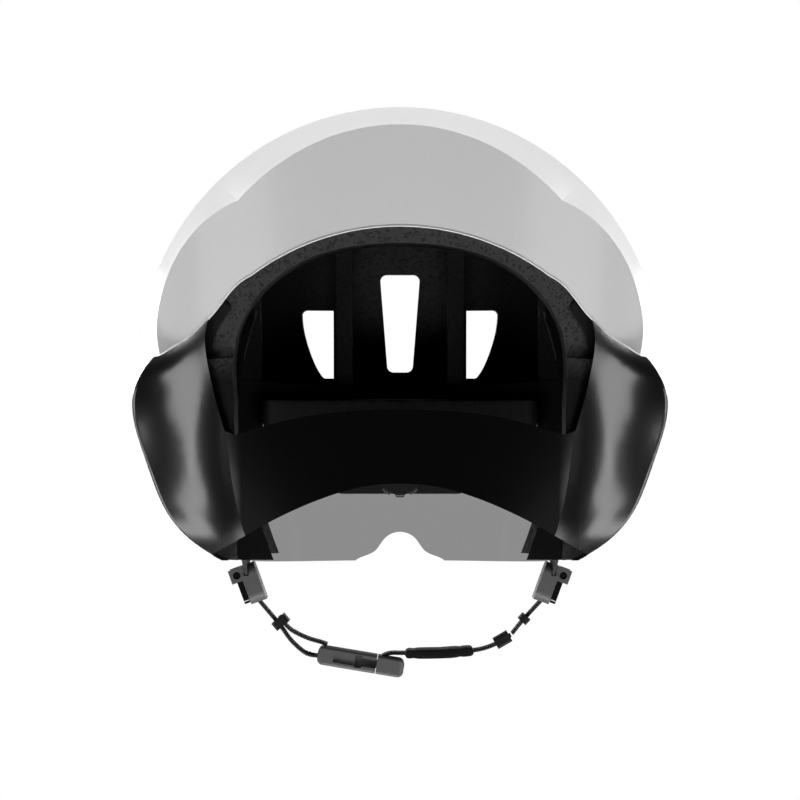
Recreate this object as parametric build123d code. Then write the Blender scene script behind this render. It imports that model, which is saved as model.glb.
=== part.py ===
from build123d import *
import os
from functools import cache
from math import sin, cos, radians, sqrt, pi, atan2

# Closed-shell aero time trial helmet.
# +Z up, +Y towards the face, +X to the right as seen from behind.
# The origin is the centre of the head opening at brow level.

# Driving dimensions of the dome
dome_r = 114.0            # half width of the shell at its widest section
dome_rise = 25.0          # height of the dome's centre line above the origin
nose_reach = 130.0        # widest section to the brow
tail_reach = 148.0        # widest section to the top of the tail face
tail_r = 125.0            # radius of the tail face in plan
tail_lean = 0.238         # forward slope of the tail face, per unit of drop
loft_end = 165.0          # end of the dome's loft behind the tail face
crest_r = 75.9            # centre lobe of the tail edge
crest_rise = 23.1         # its centre above the dome's centre line
haunch_r = 40.7           # side lobes of the tail edge
haunch_out = 49.4         # their centres, sideways
haunch_rise = 26.3        # and above the dome's centre line
haunch_foot_angle = 92.0  # where the side lobes end, from the vertical
narrowing = 1.3           # how the sections close in towards the tail, as a power of the reach
notch_angle = 44.2        # crease between the lobes, from the vertical
nose_angles = (75, 60, 45, 31, 18, 6)    # sections of the front, up to a small flat nose
shell_wall = 2.2
fit_gap = 0.3             # between pieces that sit against each other
overrun = 30.0            # how far cuts run past what they cut

# Mouth at the back
mouth_arch_r = 106.0
mouth_top = 82.9
mouth_shoulder = 62.0     # half width where the arch's arc ends
mouth_flare_shares = ((0.637, 0.472), (0.675, 0.424), (0.713, 0.385), (0.751, 0.350),
                      (0.789, 0.321), (0.828, 0.300), (0.868, 0.275), (0.95, 0.262))
tunnel_top = 76.4
tunnel_shares = ((0.449, 0.550), (0.540, 0.458), (0.588, 0.366), (0.610, 0.245), (0.605, 0.10))

# Seam between the white and the black shell, in side view (reach, height)
seam_shares = ((-1.6, 0.272), (-0.78, 0.275), (-0.52, 0.235), (-0.26, 0.196), (0.0, 0.160), (0.35, 0.085),
               (0.60, 0.020), (0.90, -0.018), (1.35, -0.035))

# Lower shell with its wings
pod_wall = 2.5
pod_front = 66.0
pod_face_half = 61.5      # inner edge of the front walls
pod_foot = 57.0           # depth of the lower edge
rim_round = 1.7           # how far the rounding reaches along each side of the rim
# height, corner, middle of the flank, rim, side and front, all as shares of dome_r
pod_level_shares = (
    (0.491, 0.605, -0.990, 0.690, -0.915, 0.800, -0.820, 0.955, 0.817),
    (0.298, 0.640, -0.940, 0.755, -0.835, 0.877, -0.684, 0.993, 0.858),
    (0.140, 0.640, -0.940, 0.815, -0.775, 0.982, -0.719, 0.989, 0.858),
    (-0.044, 0.630, -0.945, 0.800, -0.720, 0.968, -0.660, 0.950, 0.807),
    (-0.211, 0.610, -0.930, 0.770, -0.660, 0.916, -0.575, 0.880, 0.737),
    (-0.368, 0.575, -0.895, 0.720, -0.590, 0.838, -0.490, 0.785, 0.650),
    (-0.520, 0.490, -0.830, 0.560, -0.540, 0.630, -0.420, 0.590, 0.540),
)
nape_reach = 122.0
wing_mouth_shares = ((0.637, 0.478), (0.713, 0.335), (0.700, 0.215), (0.666, 0.072), (0.640, -0.012))
nape_top_shares = ((0.600, -0.026), (0.490, 0.007), (0.340, 0.043), (0.182, 0.061), (0.0, 0.068))
nape_foot_shares = ((0.700, -0.475), (0.650, -0.447), (0.535, -0.377), (0.421, -0.316),
                    (0.254, -0.246), (0.123, -0.211), (0.0, -0.202))

# Head room
head_x = 79.0
head_y = 100.0
head_z = 98.0
head_rise = 10.0
crown_angles = (0, 20, 40, 57, 69, 76)   # its sections, up from its widest
jaw_x = 63.0
jaw_y = 84.0
jaw_drop = 75.0
ear_length = 62.0         # ear pocket in the foam
ear_depth = 11.0
ear_drop = 22.0
ear_back = 8.0

# Liner
liner_cover = 13.0        # foam left between the dome and a channel
centre_channel = 21.6     # half width of the middle channel
rib_width = 7.2
side_channel = 62.0       # outer edge of the side channels
parting_rise = 23.5       # parting line of the foam blocks at the widest section
parting_slope = 0.055     # its fall per unit of reach
brow_foot = 1.0           # lower edge of the forehead foam
brow_start = 50.0         # where the forehead foam joins the side foam
centre_channel_foot = 12.4

# Front vents
vent_top = 68.7
vent_foot = 24.1
vent_half_top = 9.2
vent_half_foot = 5.7
vent_corner = 3.0
side_vent_in = 30.3
side_vent_top = 52.4
side_vent_foot = 21.3
side_vent_shares = ((0.390, 0.427), (0.379, 0.354), (0.354, 0.274), (0.326, 0.214))

# Visor
visor_wall = 2.0
visor_mid = 100.0         # reach of the middle points of its sections
visor_back = 46.0         # where its sections end
# height, front reach, half width at the middle and at the back, all as shares of dome_r
visor_level_shares = (
    (0.30, 1.158, 0.690, 0.960),
    (0.10, 1.182, 0.700, 0.958),
    (-0.12, 1.225, 0.715, 0.925),
    (-0.34, 1.237, 0.690, 0.850),
    (-0.60, 1.200, 0.630, 0.740),
)
# Edge of the visor in side view (reach, height), from the top front round the back
visor_top_shares = ((1.35, 0.170), (0.415, 0.110))
visor_edge_shares = ((0.412, 0.080), (0.420, -0.09), (0.475, -0.26), (0.60, -0.42), (0.77, -0.51),
                     (0.92, -0.541), (1.35, -0.549))
notch_shares = ((0.200, -0.585), (0.175, -0.545), (0.102, -0.511), (0.061, -0.459), (0.0, -0.434))

# Magnets of the visor
magnet_r = 6.0
magnet_depth = 4.0        # into the shell
magnet_front_rise = 10.0
magnet_side_reach = 56.0
magnet_side_drop = 10.0
magnet_gap = 0.15

# Fit system at the nape
anchor_reach = 44.0       # temple pins in front of the origin
anchor_drop = 12.0
anchor_base = 69.5        # face of the pins' base plates, from the middle
base_r = 7.0
base_thick = 1.6
pin_r = 2.4
pin_gap = 0.08
pin_length = 6.8
arm_wall = 1.8
arm_top = 12.2            # upper and lower edge below the origin
arm_foot = 25.2
arm_start = 32.5
eye_r = 6.5
eye_gap = 0.5
# middle line of the right arm in plan, as shares of head_x and head_y
arm_shares = ((0.415, -1.023), (0.555, -0.925), (0.715, -0.735), (0.785, -0.490), (0.878, -0.220),
              (0.902, 0.0), (0.885, 0.200), (0.845, 0.340))
cradle_half = 27.0
cradle_drop = 18.7        # dial axis below the origin
cradle_face = 99.0        # front face of the housing behind the origin
cradle_front_wall = 1.7
cradle_rear_wall = 2.7
cradle_lip = 1.0          # wall above and below the racks
cradle_round = 3.0
rack_depth = 2.6
rack_bar = 2.4
rack_reach = 14.0         # how far a rack runs past the pinion
pinion_r = 4.0
pinion_teeth = 8
tooth_depth = 0.8
tooth_width = 0.9
rack_tooth = 1.2
running_gap = 0.3
dial_r = 10.2
dial_depth = 6.5
dial_flutes = 10
flute_r = 1.5
axle_r = 2.2
axle_gap = 0.06
press_gap = 0.02
band_travel = 4.0

# Pads
pad_thick = 6.0
pad_round = 2.0
brow_pad_top = 12.4
brow_pad_foot = 3.0
brow_pad_half = 62.0
side_pad_half = 30.0
side_pad_foot = 28.0
side_pad_top = 52.0
rib_pad_width = 9.0
rib_pad_front = 45.0
rib_pad_back = 35.0
nape_pad_in = 5.0
nape_pad_out = 25.0
nape_pad_half = 7.0
nape_pad_thick = 4.0

# Straps
web_width = 15.0
web_thick = 1.4
web_gap = 0.3
upper_web_width = 12.0
strap_lean = 0.57         # slope of the upper straps' width in side view
strap_spread = 34.0       # front and rear strap anchors from the middle
strap_top = 46.0          # depth of the strap anchors
strap_in = 69.0           # half width of the strap anchors
anchor_thick = 2.0
anchor_side = 18.0
divider_at = 64.0         # middle of the dividers, sideways
divider_drop = 68.0
divider_height = 17.0
divider_half = 14.0
divider_thick = 7.0
divider_tilt = 20.0
divider_round = 2.4
socket_depth = 5.0
lever_thick = 2.4
lever_height = 13.0
lever_pin_r = 1.6
lever_pin_gap = 0.05
lever_ear = 3.0

# Middle lines of the chin straps (across, height), as shares of buckle_drop
left_strap_shares = ((-0.590, -0.752), (-0.511, -0.846), (-0.464, -0.910), (-0.407, -0.961),
                     (-0.365, -0.975), (-0.330, -0.972))
right_strap_shares = ((0.590, -0.752), (0.518, -0.831), (0.477, -0.882))
low_strap_shares = ((0.472, -0.888), (0.401, -0.929), (0.318, -0.953), (0.166, -0.965), (0.017, -0.965),
                    (-0.039, -0.965), (-0.073, -0.976), (-0.088, -0.993))
tail_strap_shares = ((-0.514, -0.808), (-0.493, -0.836), (-0.460, -0.868), (-0.396, -0.900),
                     (-0.337, -0.918), (-0.309, -0.928))

# Magnetic buckle
buckle_length = 38.0
buckle_height = 8.0
buckle_depth = 20.0
buckle_at = -17.1         # its middle, sideways
buckle_drop = 102.3       # its middle below the origin
buckle_tilt = 9.5
buckle_round = 2.6
tongue_length = 12.2
catch_length = 9.0        # tab of the tongue inside the body
catch_height = 3.0
catch_gap = 0.25
catch_wall = 2.4
window_in = 7.0           # dark window from the body's outer end
window_length = 12.6
window_height = 4.2
window_depth = 1.2
buckle_magnet_r = 3.0
buckle_magnet_thick = 1.2
buckle_stroke = 16.0

# Chin pad and keepers
chin_pad_in = 1.7
chin_pad_out = 32.5
chin_pad_drop = 98.7
chin_pad_thick = 4.8
chin_pad_depth = 24.0
chin_pad_round = 2.0
keeper_width = 4.0
keeper_wall = 1.2
keeper_gap = 0.2
tail_keeper_width = 7.0


def spline(points):
    return Edge.make_spline([Vector(*p) for p in points])


def line(start, end):
    return Edge.make_line(Vector(*start), Vector(*end))


def slab(x0, x1, y0, y1, z0, z1):
    """Box between two corners"""
    size = Solid.make_box(abs(x1 - x0), abs(y1 - y0), abs(z1 - z0))
    return size.moved(Location((min(x0, x1), min(y0, y1), min(z0, z1))))


def side_prism(profile, half):
    """Face in the plane x = 0, drawn as (reach, height) wires, widened both ways"""
    return extrude(Face(profile), amount=half, dir=(1, 0, 0), both=True)


def rear_prism(profile, y0, y1):
    """Face drawn as (x, height) at y = 0, stretched from y0 to y1"""
    moved = Face(profile).moved(Location((0, y0, 0)))
    return extrude(moved, amount=y1 - y0, dir=(0, 1, 0))


# The dome

def edge_radius(angle):
    """Distance of the tail edge from the dome's centre line"""
    if abs(angle) <= notch_angle:
        away = radians(angle)
        out, lobe = crest_rise, crest_r
    else:
        away = radians(min(abs(angle), haunch_foot_angle)) - atan2(haunch_out, haunch_rise)
        out, lobe = sqrt(haunch_out ** 2 + haunch_rise ** 2), haunch_r
    return out * cos(away) + sqrt(lobe ** 2 - (out * sin(away)) ** 2)


def rear_radius(reach, angle, inset):
    """Radius of the dome's section a distance behind the widest one"""
    return dome_r - inset - (dome_r - edge_radius(angle)) * (reach / tail_reach) ** narrowing


def dome_wire(y, radius):
    """Closed section at y, whose radius is a function of the angle from the vertical"""
    steps = 4
    crest = [notch_angle * i / steps for i in range(-steps, steps + 1)]
    lobe_step = (haunch_foot_angle - notch_angle) / (steps + 1)
    side = [notch_angle + lobe_step * i for i in range(steps + 2)]
    side = side + [haunch_foot_angle + (180 - haunch_foot_angle) * i / steps for i in range(1, steps + 1)]
    edges = []
    for angles in (crest, side, [-a for a in reversed(side)]):
        turned = [(radians(a), radius(a)) for a in angles]
        edges.append(spline([(r * sin(a), y, dome_rise + r * cos(a)) for a, r in turned]))
    return Wire(edges)


@cache
def dome(inset):
    """Solid form of the helmet's upper body, drawn in by an inset"""
    wires = []
    for i in range(6, -1, -1):
        reach = loft_end * i / 6
        wires.append(dome_wire(-reach, lambda a: rear_radius(reach, a, inset)))
    for angle in nose_angles:
        r, y = (dome_r - inset) * sin(radians(angle)), (nose_reach - inset) * cos(radians(angle))
        wires.append(dome_wire(y, lambda a: r))
    return Solid.make_loft(wires)


@cache
def tail_keep(forward):
    """Everything in front of the tail face, moved forward by a distance"""
    top = dome_rise + dome_r + overrun
    foot = -dome_r
    crest = dome_rise + crest_rise + crest_r

    def centre(z):
        return tail_r - tail_reach + (crest - z) * tail_lean + forward

    y = centre(foot)
    ahead = nose_reach + overrun * 2
    arc = Edge.make_three_point_arc(Vector(-tail_r, y, foot), Vector(0, y - tail_r, foot),
                                    Vector(tail_r, y, foot))
    wire = Wire([arc, line((tail_r, y, foot), (tail_r, ahead, foot)),
                 line((tail_r, ahead, foot), (-tail_r, ahead, foot)),
                 line((-tail_r, ahead, foot), (-tail_r, y, foot))])
    rise = top - foot
    return extrude(Face(wire), amount=rise * sqrt(1 + tail_lean ** 2), dir=(0, -tail_lean, 1))


@cache
def mouth_prism(drop, y1):
    """Space under the mouth's arch, lowered by a distance, from behind up to y1"""
    def at(x, z):
        return (x, 0, z - drop)
    flare = [at(x * dome_r, z * dome_r) for x, z in mouth_flare_shares]
    sag = mouth_arch_r - sqrt(mouth_arch_r ** 2 - mouth_shoulder ** 2)
    shoulder = at(mouth_shoulder, mouth_top - sag)
    right = [shoulder] + flare
    left = [(-x, y, z) for x, y, z in reversed(right)]
    arch = Edge.make_three_point_arc(Vector(*left[-1]), Vector(*at(0, mouth_top)), Vector(*right[0]))
    foot = -dome_r
    end = right[-1]
    wire = Wire([spline(left), arch, spline(right), line(end, (end[0], 0, foot)),
                 line((end[0], 0, foot), (-end[0], 0, foot)), line((-end[0], 0, foot), left[0])])
    return rear_prism(wire, -loft_end - overrun, y1)


@cache
def seam_prism(drop):
    """Space under the seam between the shells, lowered by a distance"""
    top = [(0, y * dome_r, z * dome_r - drop) for y, z in seam_shares]
    foot = -dome_r
    wire = Wire([spline(top), line(top[-1], (0, top[-1][1], foot)),
                 line((0, top[-1][1], foot), (0, top[0][1], foot)), line((0, top[0][1], foot), top[0])])
    return side_prism(wire, dome_r + overrun)


def vent_cutters():
    """Prisms of the three front vents"""
    y0, y1 = head_y * 0.4, nose_reach + overrun
    corners = [(-vent_half_top, vent_top), (vent_half_top, vent_top), (vent_half_foot, vent_foot),
               (-vent_half_foot, vent_foot)]
    outline = Face(Wire.make_polygon([Vector(x, 0, z) for x, z in corners]))
    outline = fillet_face(outline, vent_corner)
    cutters = [extrude(outline.moved(Location((0, y0, 0))), amount=y1 - y0, dir=(0, 1, 0))]
    curve = [(x * dome_r, 0, z * dome_r) for x, z in side_vent_shares]
    curve = [(curve[0][0], 0, side_vent_top)] + curve + [(curve[-1][0] - vent_half_foot * 0.4, 0, side_vent_foot)]
    top = (side_vent_in, 0, side_vent_top)
    foot = (side_vent_in, 0, side_vent_foot)
    right = Face(Wire([line(foot, top), line(top, curve[0]), spline(curve), line(curve[-1], foot)]))
    outer = [corner for corner in right.vertices() if corner.X > side_vent_in + vent_corner]
    right = right.fillet_2d(vent_corner * 0.8, outer)
    right_cut = extrude(right.moved(Location((0, y0, 0))), amount=y1 - y0, dir=(0, 1, 0))
    return cutters + [right_cut, right_cut.mirror(Plane.YZ)]


def fillet_face(face, radius):
    return face.fillet_2d(radius, face.vertices())


# Lower shell

def pod_points(level):
    """Half outline of one level, from the nape to the front"""
    z, cx, cy, fx, fy, rx, ry, side, front = [share * dome_r for share in level]
    half = [(0.0, -nape_reach), (cx * 0.55, -nape_reach + (nape_reach + cy) * 0.28), (cx, cy),
            (fx, fy), (rx, ry), ((rx + side) / 2, ry * 0.5), (side, 0.0),
            ((side + front) / 2 + (side - front) * 0.18, pod_front * 0.55), (front, pod_front)]
    return z, half


def inset_points(points, inset):
    """Closed outline moved inwards, point by point along its mean normals"""
    moved = []
    count = len(points)
    for i, (x, y) in enumerate(points):
        before, after = points[i - 1], points[(i + 1) % count]
        normals = []
        for (x0, y0), (x1, y1) in ((before, (x, y)), ((x, y), after)):
            length = sqrt((x1 - x0) ** 2 + (y1 - y0) ** 2)
            normals.append((-(y1 - y0) / length, (x1 - x0) / length))
        nx, ny = normals[0][0] + normals[1][0], normals[0][1] + normals[1][1]
        scale = 2 / (nx * nx + ny * ny)
        moved.append((x + nx * inset * scale, y + ny * inset * scale))
    return moved


def rim_arc(before, rim, after):
    """Start, middle and end of the rounding of a wing's rim"""
    before, rim, after = Vector(*before), Vector(*rim), Vector(*after)
    start = rim + (before - rim).normalized() * rim_round
    end = rim + (after - rim).normalized() * rim_round
    middle = rim + ((start + end) / 2 - rim) * 0.42
    return [tuple(start), tuple(middle), tuple(end)]


def arc_through(points):
    return Edge.make_three_point_arc(*[Vector(*point) for point in points])


def pod_wire(level, inset):
    z, half = pod_points(level)
    right = half[1:]
    loop = [half[0]] + right + [(-x, y) for x, y in reversed(right)]
    loop = inset_points(loop, inset) if inset else loop
    points = [(x, y, z) for x, y in loop]
    n = len(half)
    corner, rim, front = 2, 4, n - 1
    left_front, left_rim, left_corner = n, n + 4, n + 6
    nape = points[left_corner:] + points[:corner + 1]
    right = rim_arc(points[rim - 1], points[rim], points[rim + 1])
    left = rim_arc(points[left_rim - 1], points[left_rim], points[left_rim + 1])
    return Wire([spline(nape), spline(points[corner:rim] + [right[0]]), arc_through(right),
                 spline([right[2]] + points[rim + 1:front + 1]), line(points[front], points[left_front]),
                 spline(points[left_front:left_rim] + [left[0]]), arc_through(left),
                 spline([left[2]] + points[left_rim + 1:left_corner + 1])])


@cache
def pod_form(inset):
    """Solid form of the lower body, drawn in by an inset"""
    return Solid.make_loft([pod_wire(level, inset) for level in reversed(pod_level_shares)])


def pod_mouth():
    """Opening of the mouth through the lower shell, seen from behind"""
    side = [(x * dome_r, 0, z * dome_r) for x, z in wing_mouth_shares]
    base = [(x * dome_r, 0, z * dome_r) for x, z in nape_top_shares]
    right = [spline(side), line(side[-1], base[0])]
    left_side = [(-x, y, z) for x, y, z in side]
    left_base = [(-x, y, z) for x, y, z in base]
    across = base + left_base[-2::-1]
    left = [line(left_base[0], left_side[-1]), spline(left_side[::-1])]
    roof = dome_r
    top = [line(left_side[0], (left_side[0][0], 0, roof)),
           line((left_side[0][0], 0, roof), (side[0][0], 0, roof)), line((side[0][0], 0, roof), side[0])]
    return rear_prism(Wire(right + [spline(across)] + left + top), -nape_reach - overrun, -overrun)


def pod_undercut():
    """Space under the nape band, seen from behind"""
    right = [(x * dome_r, 0, z * dome_r) for x, z in nape_foot_shares]
    left = [(-x, y, z) for x, y, z in right]
    top = left[:-1] + right[::-1]
    foot = -dome_r
    wire = Wire([spline(top), line(top[-1], (top[-1][0], 0, foot)),
                 line((top[-1][0], 0, foot), (top[0][0], 0, foot)), line((top[0][0], 0, foot), top[0])])
    return rear_prism(wire, -nape_reach - overrun, -dome_r * 0.42)


@cache
def head_room(grow):
    """Space of the head and neck, grown by a distance"""
    faces = [ellipse_face(jaw_x + grow, jaw_y + grow, head_rise - jaw_drop),
             ellipse_face(head_x * 0.965 + grow, head_y * 0.965 + grow, head_rise - jaw_drop * 0.4)]
    for angle in crown_angles:
        a = radians(angle)
        faces.append(ellipse_face((head_x + grow) * cos(a), (head_y + grow) * cos(a),
                                  head_rise + (head_z + grow) * sin(a)))
    return loft(faces)


def ellipse_face(rx, ry, z):
    """Upright ellipse, longer from front to back, with its seam at the back"""
    plane = Plane(origin=(0, 0, z), x_dir=(0, -1, 0), z_dir=(0, 0, 1))
    return Face(Wire(Edge.make_ellipse(ry, rx, plane=plane)))


def part_plane(drop, above):
    """Half space above or below the foam's parting surface"""
    far = nose_reach + overrun * 2
    ends = [(-far, parting_rise + far * parting_slope - drop), (far, parting_rise - far * parting_slope - drop)]
    z = dome_r * 2 if above else -dome_r * 2
    points = [(0, *ends[0]), (0, *ends[1]), (0, far, z), (0, -far, z)]
    return side_prism(Wire.make_polygon([Vector(*p) for p in points]), dome_r + overrun)


@cache
def tunnel_prism():
    """Way in through the mouth, inside the foam's rear edge"""
    right = [(x * dome_r, 0, z * dome_r) for x, z in tunnel_shares]
    left = [(-x, y, z) for x, y, z in right]
    arch = left[::-1] + [(0, 0, tunnel_top)] + right
    foot = -dome_r
    end = right[-1]
    wire = Wire([spline(arch), line(end, (end[0], 0, foot)),
                 line((end[0], 0, foot), (-end[0], 0, foot)), line((-end[0], 0, foot), arch[0])])
    return rear_prism(wire, -loft_end - overrun, -head_y * 0.5)


@cache
def channel_space():
    """Air channels inside the crown, left and right of the ribs"""
    room = dome(shell_wall + fit_gap + liner_cover)
    top, far = dome_r * 2, nose_reach * 2
    back = -head_y * 0.5
    inner = centre_channel + rib_width
    above = part_plane(0, True)
    middle = room & slab(-centre_channel, centre_channel, back, far, centre_channel_foot, top)
    right = room & above & slab(inner, side_channel, back, far, 0, top)
    left = room & above & slab(-side_channel, -inner, back, far, 0, top)
    return [middle, right, left]


def cut(body, tools):
    for tool in tools:
        body = body - tool
    return body


def solids_of(shape):
    return sorted(shape.solids(), key=lambda solid: -solid.volume)


def soften(body, edges, radius):
    """Fillet that keeps the plain body where the edges can't take it"""
    for share in (1.0, 0.7, 0.45):
        try:
            rounded = body.fillet(radius * share, list(edges))
            if rounded.is_valid:
                return rounded
        except Exception:
            continue
    return body


# Shells

def upper_shell():
    body = (dome(0) & tail_keep(0)) - (dome(shell_wall) & tail_keep(shell_wall))
    body = body - mouth_prism(0, -dome_r * 0.5) - seam_prism(0)
    body = cut(body, vent_cutters())
    return cut(body, magnet_cylinders(magnet_r + fit_gap * 0.5, magnet_depth))


def lower_shell():
    body = pod_form(0) - pod_form(pod_wall)
    below = seam_prism(fit_gap) + mouth_prism(fit_gap, -dome_r * 0.55)
    body = (body & below) - pod_mouth() - pod_undercut()
    body = body - slab(-dome_r, dome_r, -nape_reach * 2, nape_reach * 2, -dome_r, -pod_foot)
    body = body - slab(-pod_face_half, pod_face_half, overrun, nape_reach * 2, -dome_r, dome_r)
    return cut(body, magnet_cylinders(magnet_r + fit_gap * 0.5, magnet_depth)[1:])


# Foam

def crown_liner():
    inset = shell_wall + fit_gap
    body = dome(inset) & tail_keep(inset) & part_plane(0, True)
    wings = mouth_prism(-fit_gap, -dome_r * 0.5) & slab(-dome_r, dome_r, -loft_end, 0, -dome_r, dome_r * 0.47)
    body = body - ((seam_prism(-fit_gap) + wings) - pod_form(pod_wall + fit_gap))
    body = body - head_room(0) - tunnel_prism()
    body = cut(body, channel_space() + vent_cutters())
    return solids_of(body)[0]


def lower_liner():
    inset = shell_wall + fit_gap
    far = nose_reach * 2
    brow = dome(inset) & slab(-dome_r, dome_r, brow_start, far, brow_foot, dome_r)
    sides = pod_form(pod_wall + fit_gap)
    outside = seam_prism(-fit_gap) & slab(-dome_r * 2, dome_r * 2, 0, pod_front + fit_gap, -dome_r, dome_r)
    brow = brow - (outside - sides)
    sides = sides & slab(-dome_r, dome_r, -far, far, -pod_foot + fit_gap, dome_r)
    face = slab(-pod_face_half, pod_face_half, brow_start, far, -dome_r, brow_foot)
    body = (brow + (sides - face)) & part_plane(fit_gap, False)
    skin = dome(-fit_gap) - dome(inset)
    body = body - (skin - seam_prism(fit_gap))
    body = body - head_room(0) - tunnel_prism()
    ear = scale(Sphere(1), by=(ear_depth, ear_length / 2, ear_length / 2))
    ear_at = head_x - ear_depth * 0.2
    for side in (1, -1):
        body = body - ear.moved(Location((side * ear_at, -ear_back, -ear_drop)))
    middle, right, left = channel_space()
    body = cut(body, [middle] + vent_cutters())
    body = cut(body, magnet_cylinders(magnet_r + fit_gap * 0.5, magnet_depth))
    body = cut(body, base_recesses() + strap_slots())
    return solids_of(body)[0]


# Visor and its magnets

def visor_wire(level, inset):
    z, front, middle, back = [share * dome_r for share in level]
    half = [(0, front), (middle * 0.62, front - (front - visor_mid) * 0.29), (middle, visor_mid),
            ((middle + back) / 2 + dome_r * 0.035, (visor_mid + visor_back) / 2), (back, visor_back)]
    loop = [(-x, y) for x, y in reversed(half)] + half[1:]
    if inset:
        closed = [(-loop[0][0], visor_back - overrun), (loop[0][0], visor_back - overrun)]
        moved = inset_points(loop[::-1] + closed[::-1], inset)
        loop = moved[:len(loop)][::-1]
    points = [(x, y, z) for x, y in loop]
    return Wire([spline(points), line(points[-1], points[0])])


@cache
def visor_form(inset):
    return Solid.make_loft([visor_wire(level, inset) for level in reversed(visor_level_shares)])


def visor_outline():
    """Outline of the visor in side view, as a prism"""
    top = [(0, y * dome_r, z * dome_r) for y, z in visor_top_shares]
    edge = [(0, y * dome_r, z * dome_r) for y, z in visor_edge_shares]
    wire = Wire([line(top[0], top[1]), line(top[1], edge[0]), spline(edge), line(edge[-1], top[0])])
    return side_prism(wire, dome_r + overrun)


def nose_notch():
    right = [(x * dome_r, 0, z * dome_r) for x, z in notch_shares]
    left = [(-x, y, z) for x, y, z in right]
    foot = (right[0][0], 0, -dome_r)
    wire = Wire([spline(right + left[-2::-1]), line(left[0], (-foot[0], 0, foot[2])),
                 line((-foot[0], 0, foot[2]), foot), line(foot, right[0])])
    return rear_prism(wire, head_y * 0.5, nose_reach * 2)


def visor_lens():
    body = (visor_form(0) - visor_form(visor_wall)) & visor_outline()
    return solids_of(body - nose_notch())[0]


def magnet_axes():
    """Middle of each magnet's face side, and the way out of the shell"""
    side = dome_r * sqrt(1 - (magnet_side_reach / nose_reach) ** 2)
    return [((0, nose_reach, magnet_front_rise), (0, 1, 0)),
            ((side, magnet_side_reach, -magnet_side_drop), (1, 0.45, 0)),
            ((-side, magnet_side_reach, -magnet_side_drop), (-1, 0.45, 0))]


def magnet_cylinders(radius, depth):
    """Cylinders through the visor's magnets, from a depth in the shell outwards"""
    found = []
    for i, (at, way) in enumerate(magnet_axes()):
        plane = Plane(origin=at, z_dir=way)
        sunk = depth if i == 0 else depth + dome_r * 0.07
        disc = Solid.make_cylinder(radius, sunk + overrun, plane.offset(-sunk))
        found.append(disc)
    return found


def visor_magnets():
    room = visor_form(visor_wall + magnet_gap)
    top, foot = dome(-magnet_gap), pod_form(-magnet_gap)
    found = []
    for i, disc in enumerate(magnet_cylinders(magnet_r, 0)):
        found.append(solids_of((disc & room) - (top if i == 0 else foot))[0])
    return found


def shell_magnets():
    found = []
    for i, disc in enumerate(magnet_cylinders(magnet_r, magnet_depth - fit_gap * 0.5)):
        room = dome(magnet_gap) if i == 0 else pod_form(magnet_gap)
        found.append(solids_of(disc & room)[0])
    return found


# Fit system

def ribbon(points, thick):
    """Closed outline of a band of one thickness along plane points"""
    sides = []
    for way in (0.5, -0.5):
        moved = []
        for i, (x, y) in enumerate(points):
            x0, y0 = points[max(i - 1, 0)]
            x1, y1 = points[min(i + 1, len(points) - 1)]
            length = sqrt((x1 - x0) ** 2 + (y1 - y0) ** 2)
            moved.append((x - (y1 - y0) / length * thick * way, y + (x1 - x0) / length * thick * way))
        sides.append(moved)
    return sides


def band_prism(points, thick, to3, way, amount):
    """Band of one thickness along plane points, stretched along a direction"""
    left, right = [[to3(x, y) for x, y in side] for side in ribbon(points, thick)]
    wire = Wire([spline(left), line(left[-1], right[-1]), spline(right[::-1]), line(right[0], left[0])])
    return extrude(Face(wire), amount=amount, dir=way)


def rack_zone():
    """Near and far side of the racks from the pinion's axis"""
    near = pinion_r - tooth_depth + running_gap
    return near, pinion_r + tooth_depth + running_gap + rack_bar


def housing_depth():
    return cradle_front_wall + rack_depth + running_gap * 2 + cradle_rear_wall


def fit_band(side):
    """Toothed band with its arm, left is -1 and takes the upper rack"""
    face = -cradle_face - cradle_front_wall - running_gap
    near, far = rack_zone()
    up = 1 if side < 0 else -1
    mid = -cradle_drop
    root = pinion_r + tooth_depth + running_gap
    end = arm_start + arm_wall
    bar = slab(side * -rack_reach, side * end, face - rack_depth, face, mid + up * root, mid + up * far)
    pitch = 2 * pi * pinion_r / pinion_teeth
    count = int(rack_reach / pitch)
    for i in range(-count, count + 1):
        x = (i + 0.5) * pitch
        tooth = slab(x - rack_tooth / 2, x + rack_tooth / 2, face - rack_depth, face,
                     mid + up * near, mid + up * (root + running_gap))
        bar = bar + tooth
    points = [(side * x * head_x, y * head_y) for x, y in arm_shares]
    arm = band_prism(points, arm_wall, lambda x, y: (x, y, -arm_foot), (0, 0, 1), arm_foot - arm_top)
    web = slab(side * (arm_start - arm_wall * 0.5), side * end, face - rack_depth, points[0][1] + arm_wall,
               -arm_foot, -arm_top)
    eye_x = anchor_base - eye_gap - arm_wall
    eye = Solid.make_cylinder(eye_r, arm_wall, Plane((side * eye_x, anchor_reach, -anchor_drop),
                                                     z_dir=(side, 0, 0)))
    hole = Solid.make_cylinder(pin_r + pin_gap, arm_wall * 3,
                               Plane((side * (eye_x - arm_wall), anchor_reach, -anchor_drop),
                                     z_dir=(side, 0, 0)))
    start = points[-1]
    link = Wire.make_polygon([Vector(start[0] + side * arm_wall * 0.45, start[1] - arm_wall, -arm_foot),
                              Vector(side * (eye_x + arm_wall), anchor_reach - eye_r * 0.7, -arm_foot),
                              Vector(side * eye_x, anchor_reach - eye_r * 0.7, -arm_foot),
                              Vector(start[0] - side * arm_wall * 0.45, start[1] - arm_wall, -arm_foot)])
    strip = extrude(Face(link), amount=arm_foot - arm_top, dir=(0, 0, 1))
    strip = strip & slab(-dome_r, dome_r, 0, dome_r, -anchor_drop - eye_r, dome_r)
    return (bar + web + arm + strip + eye) - hole


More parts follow.
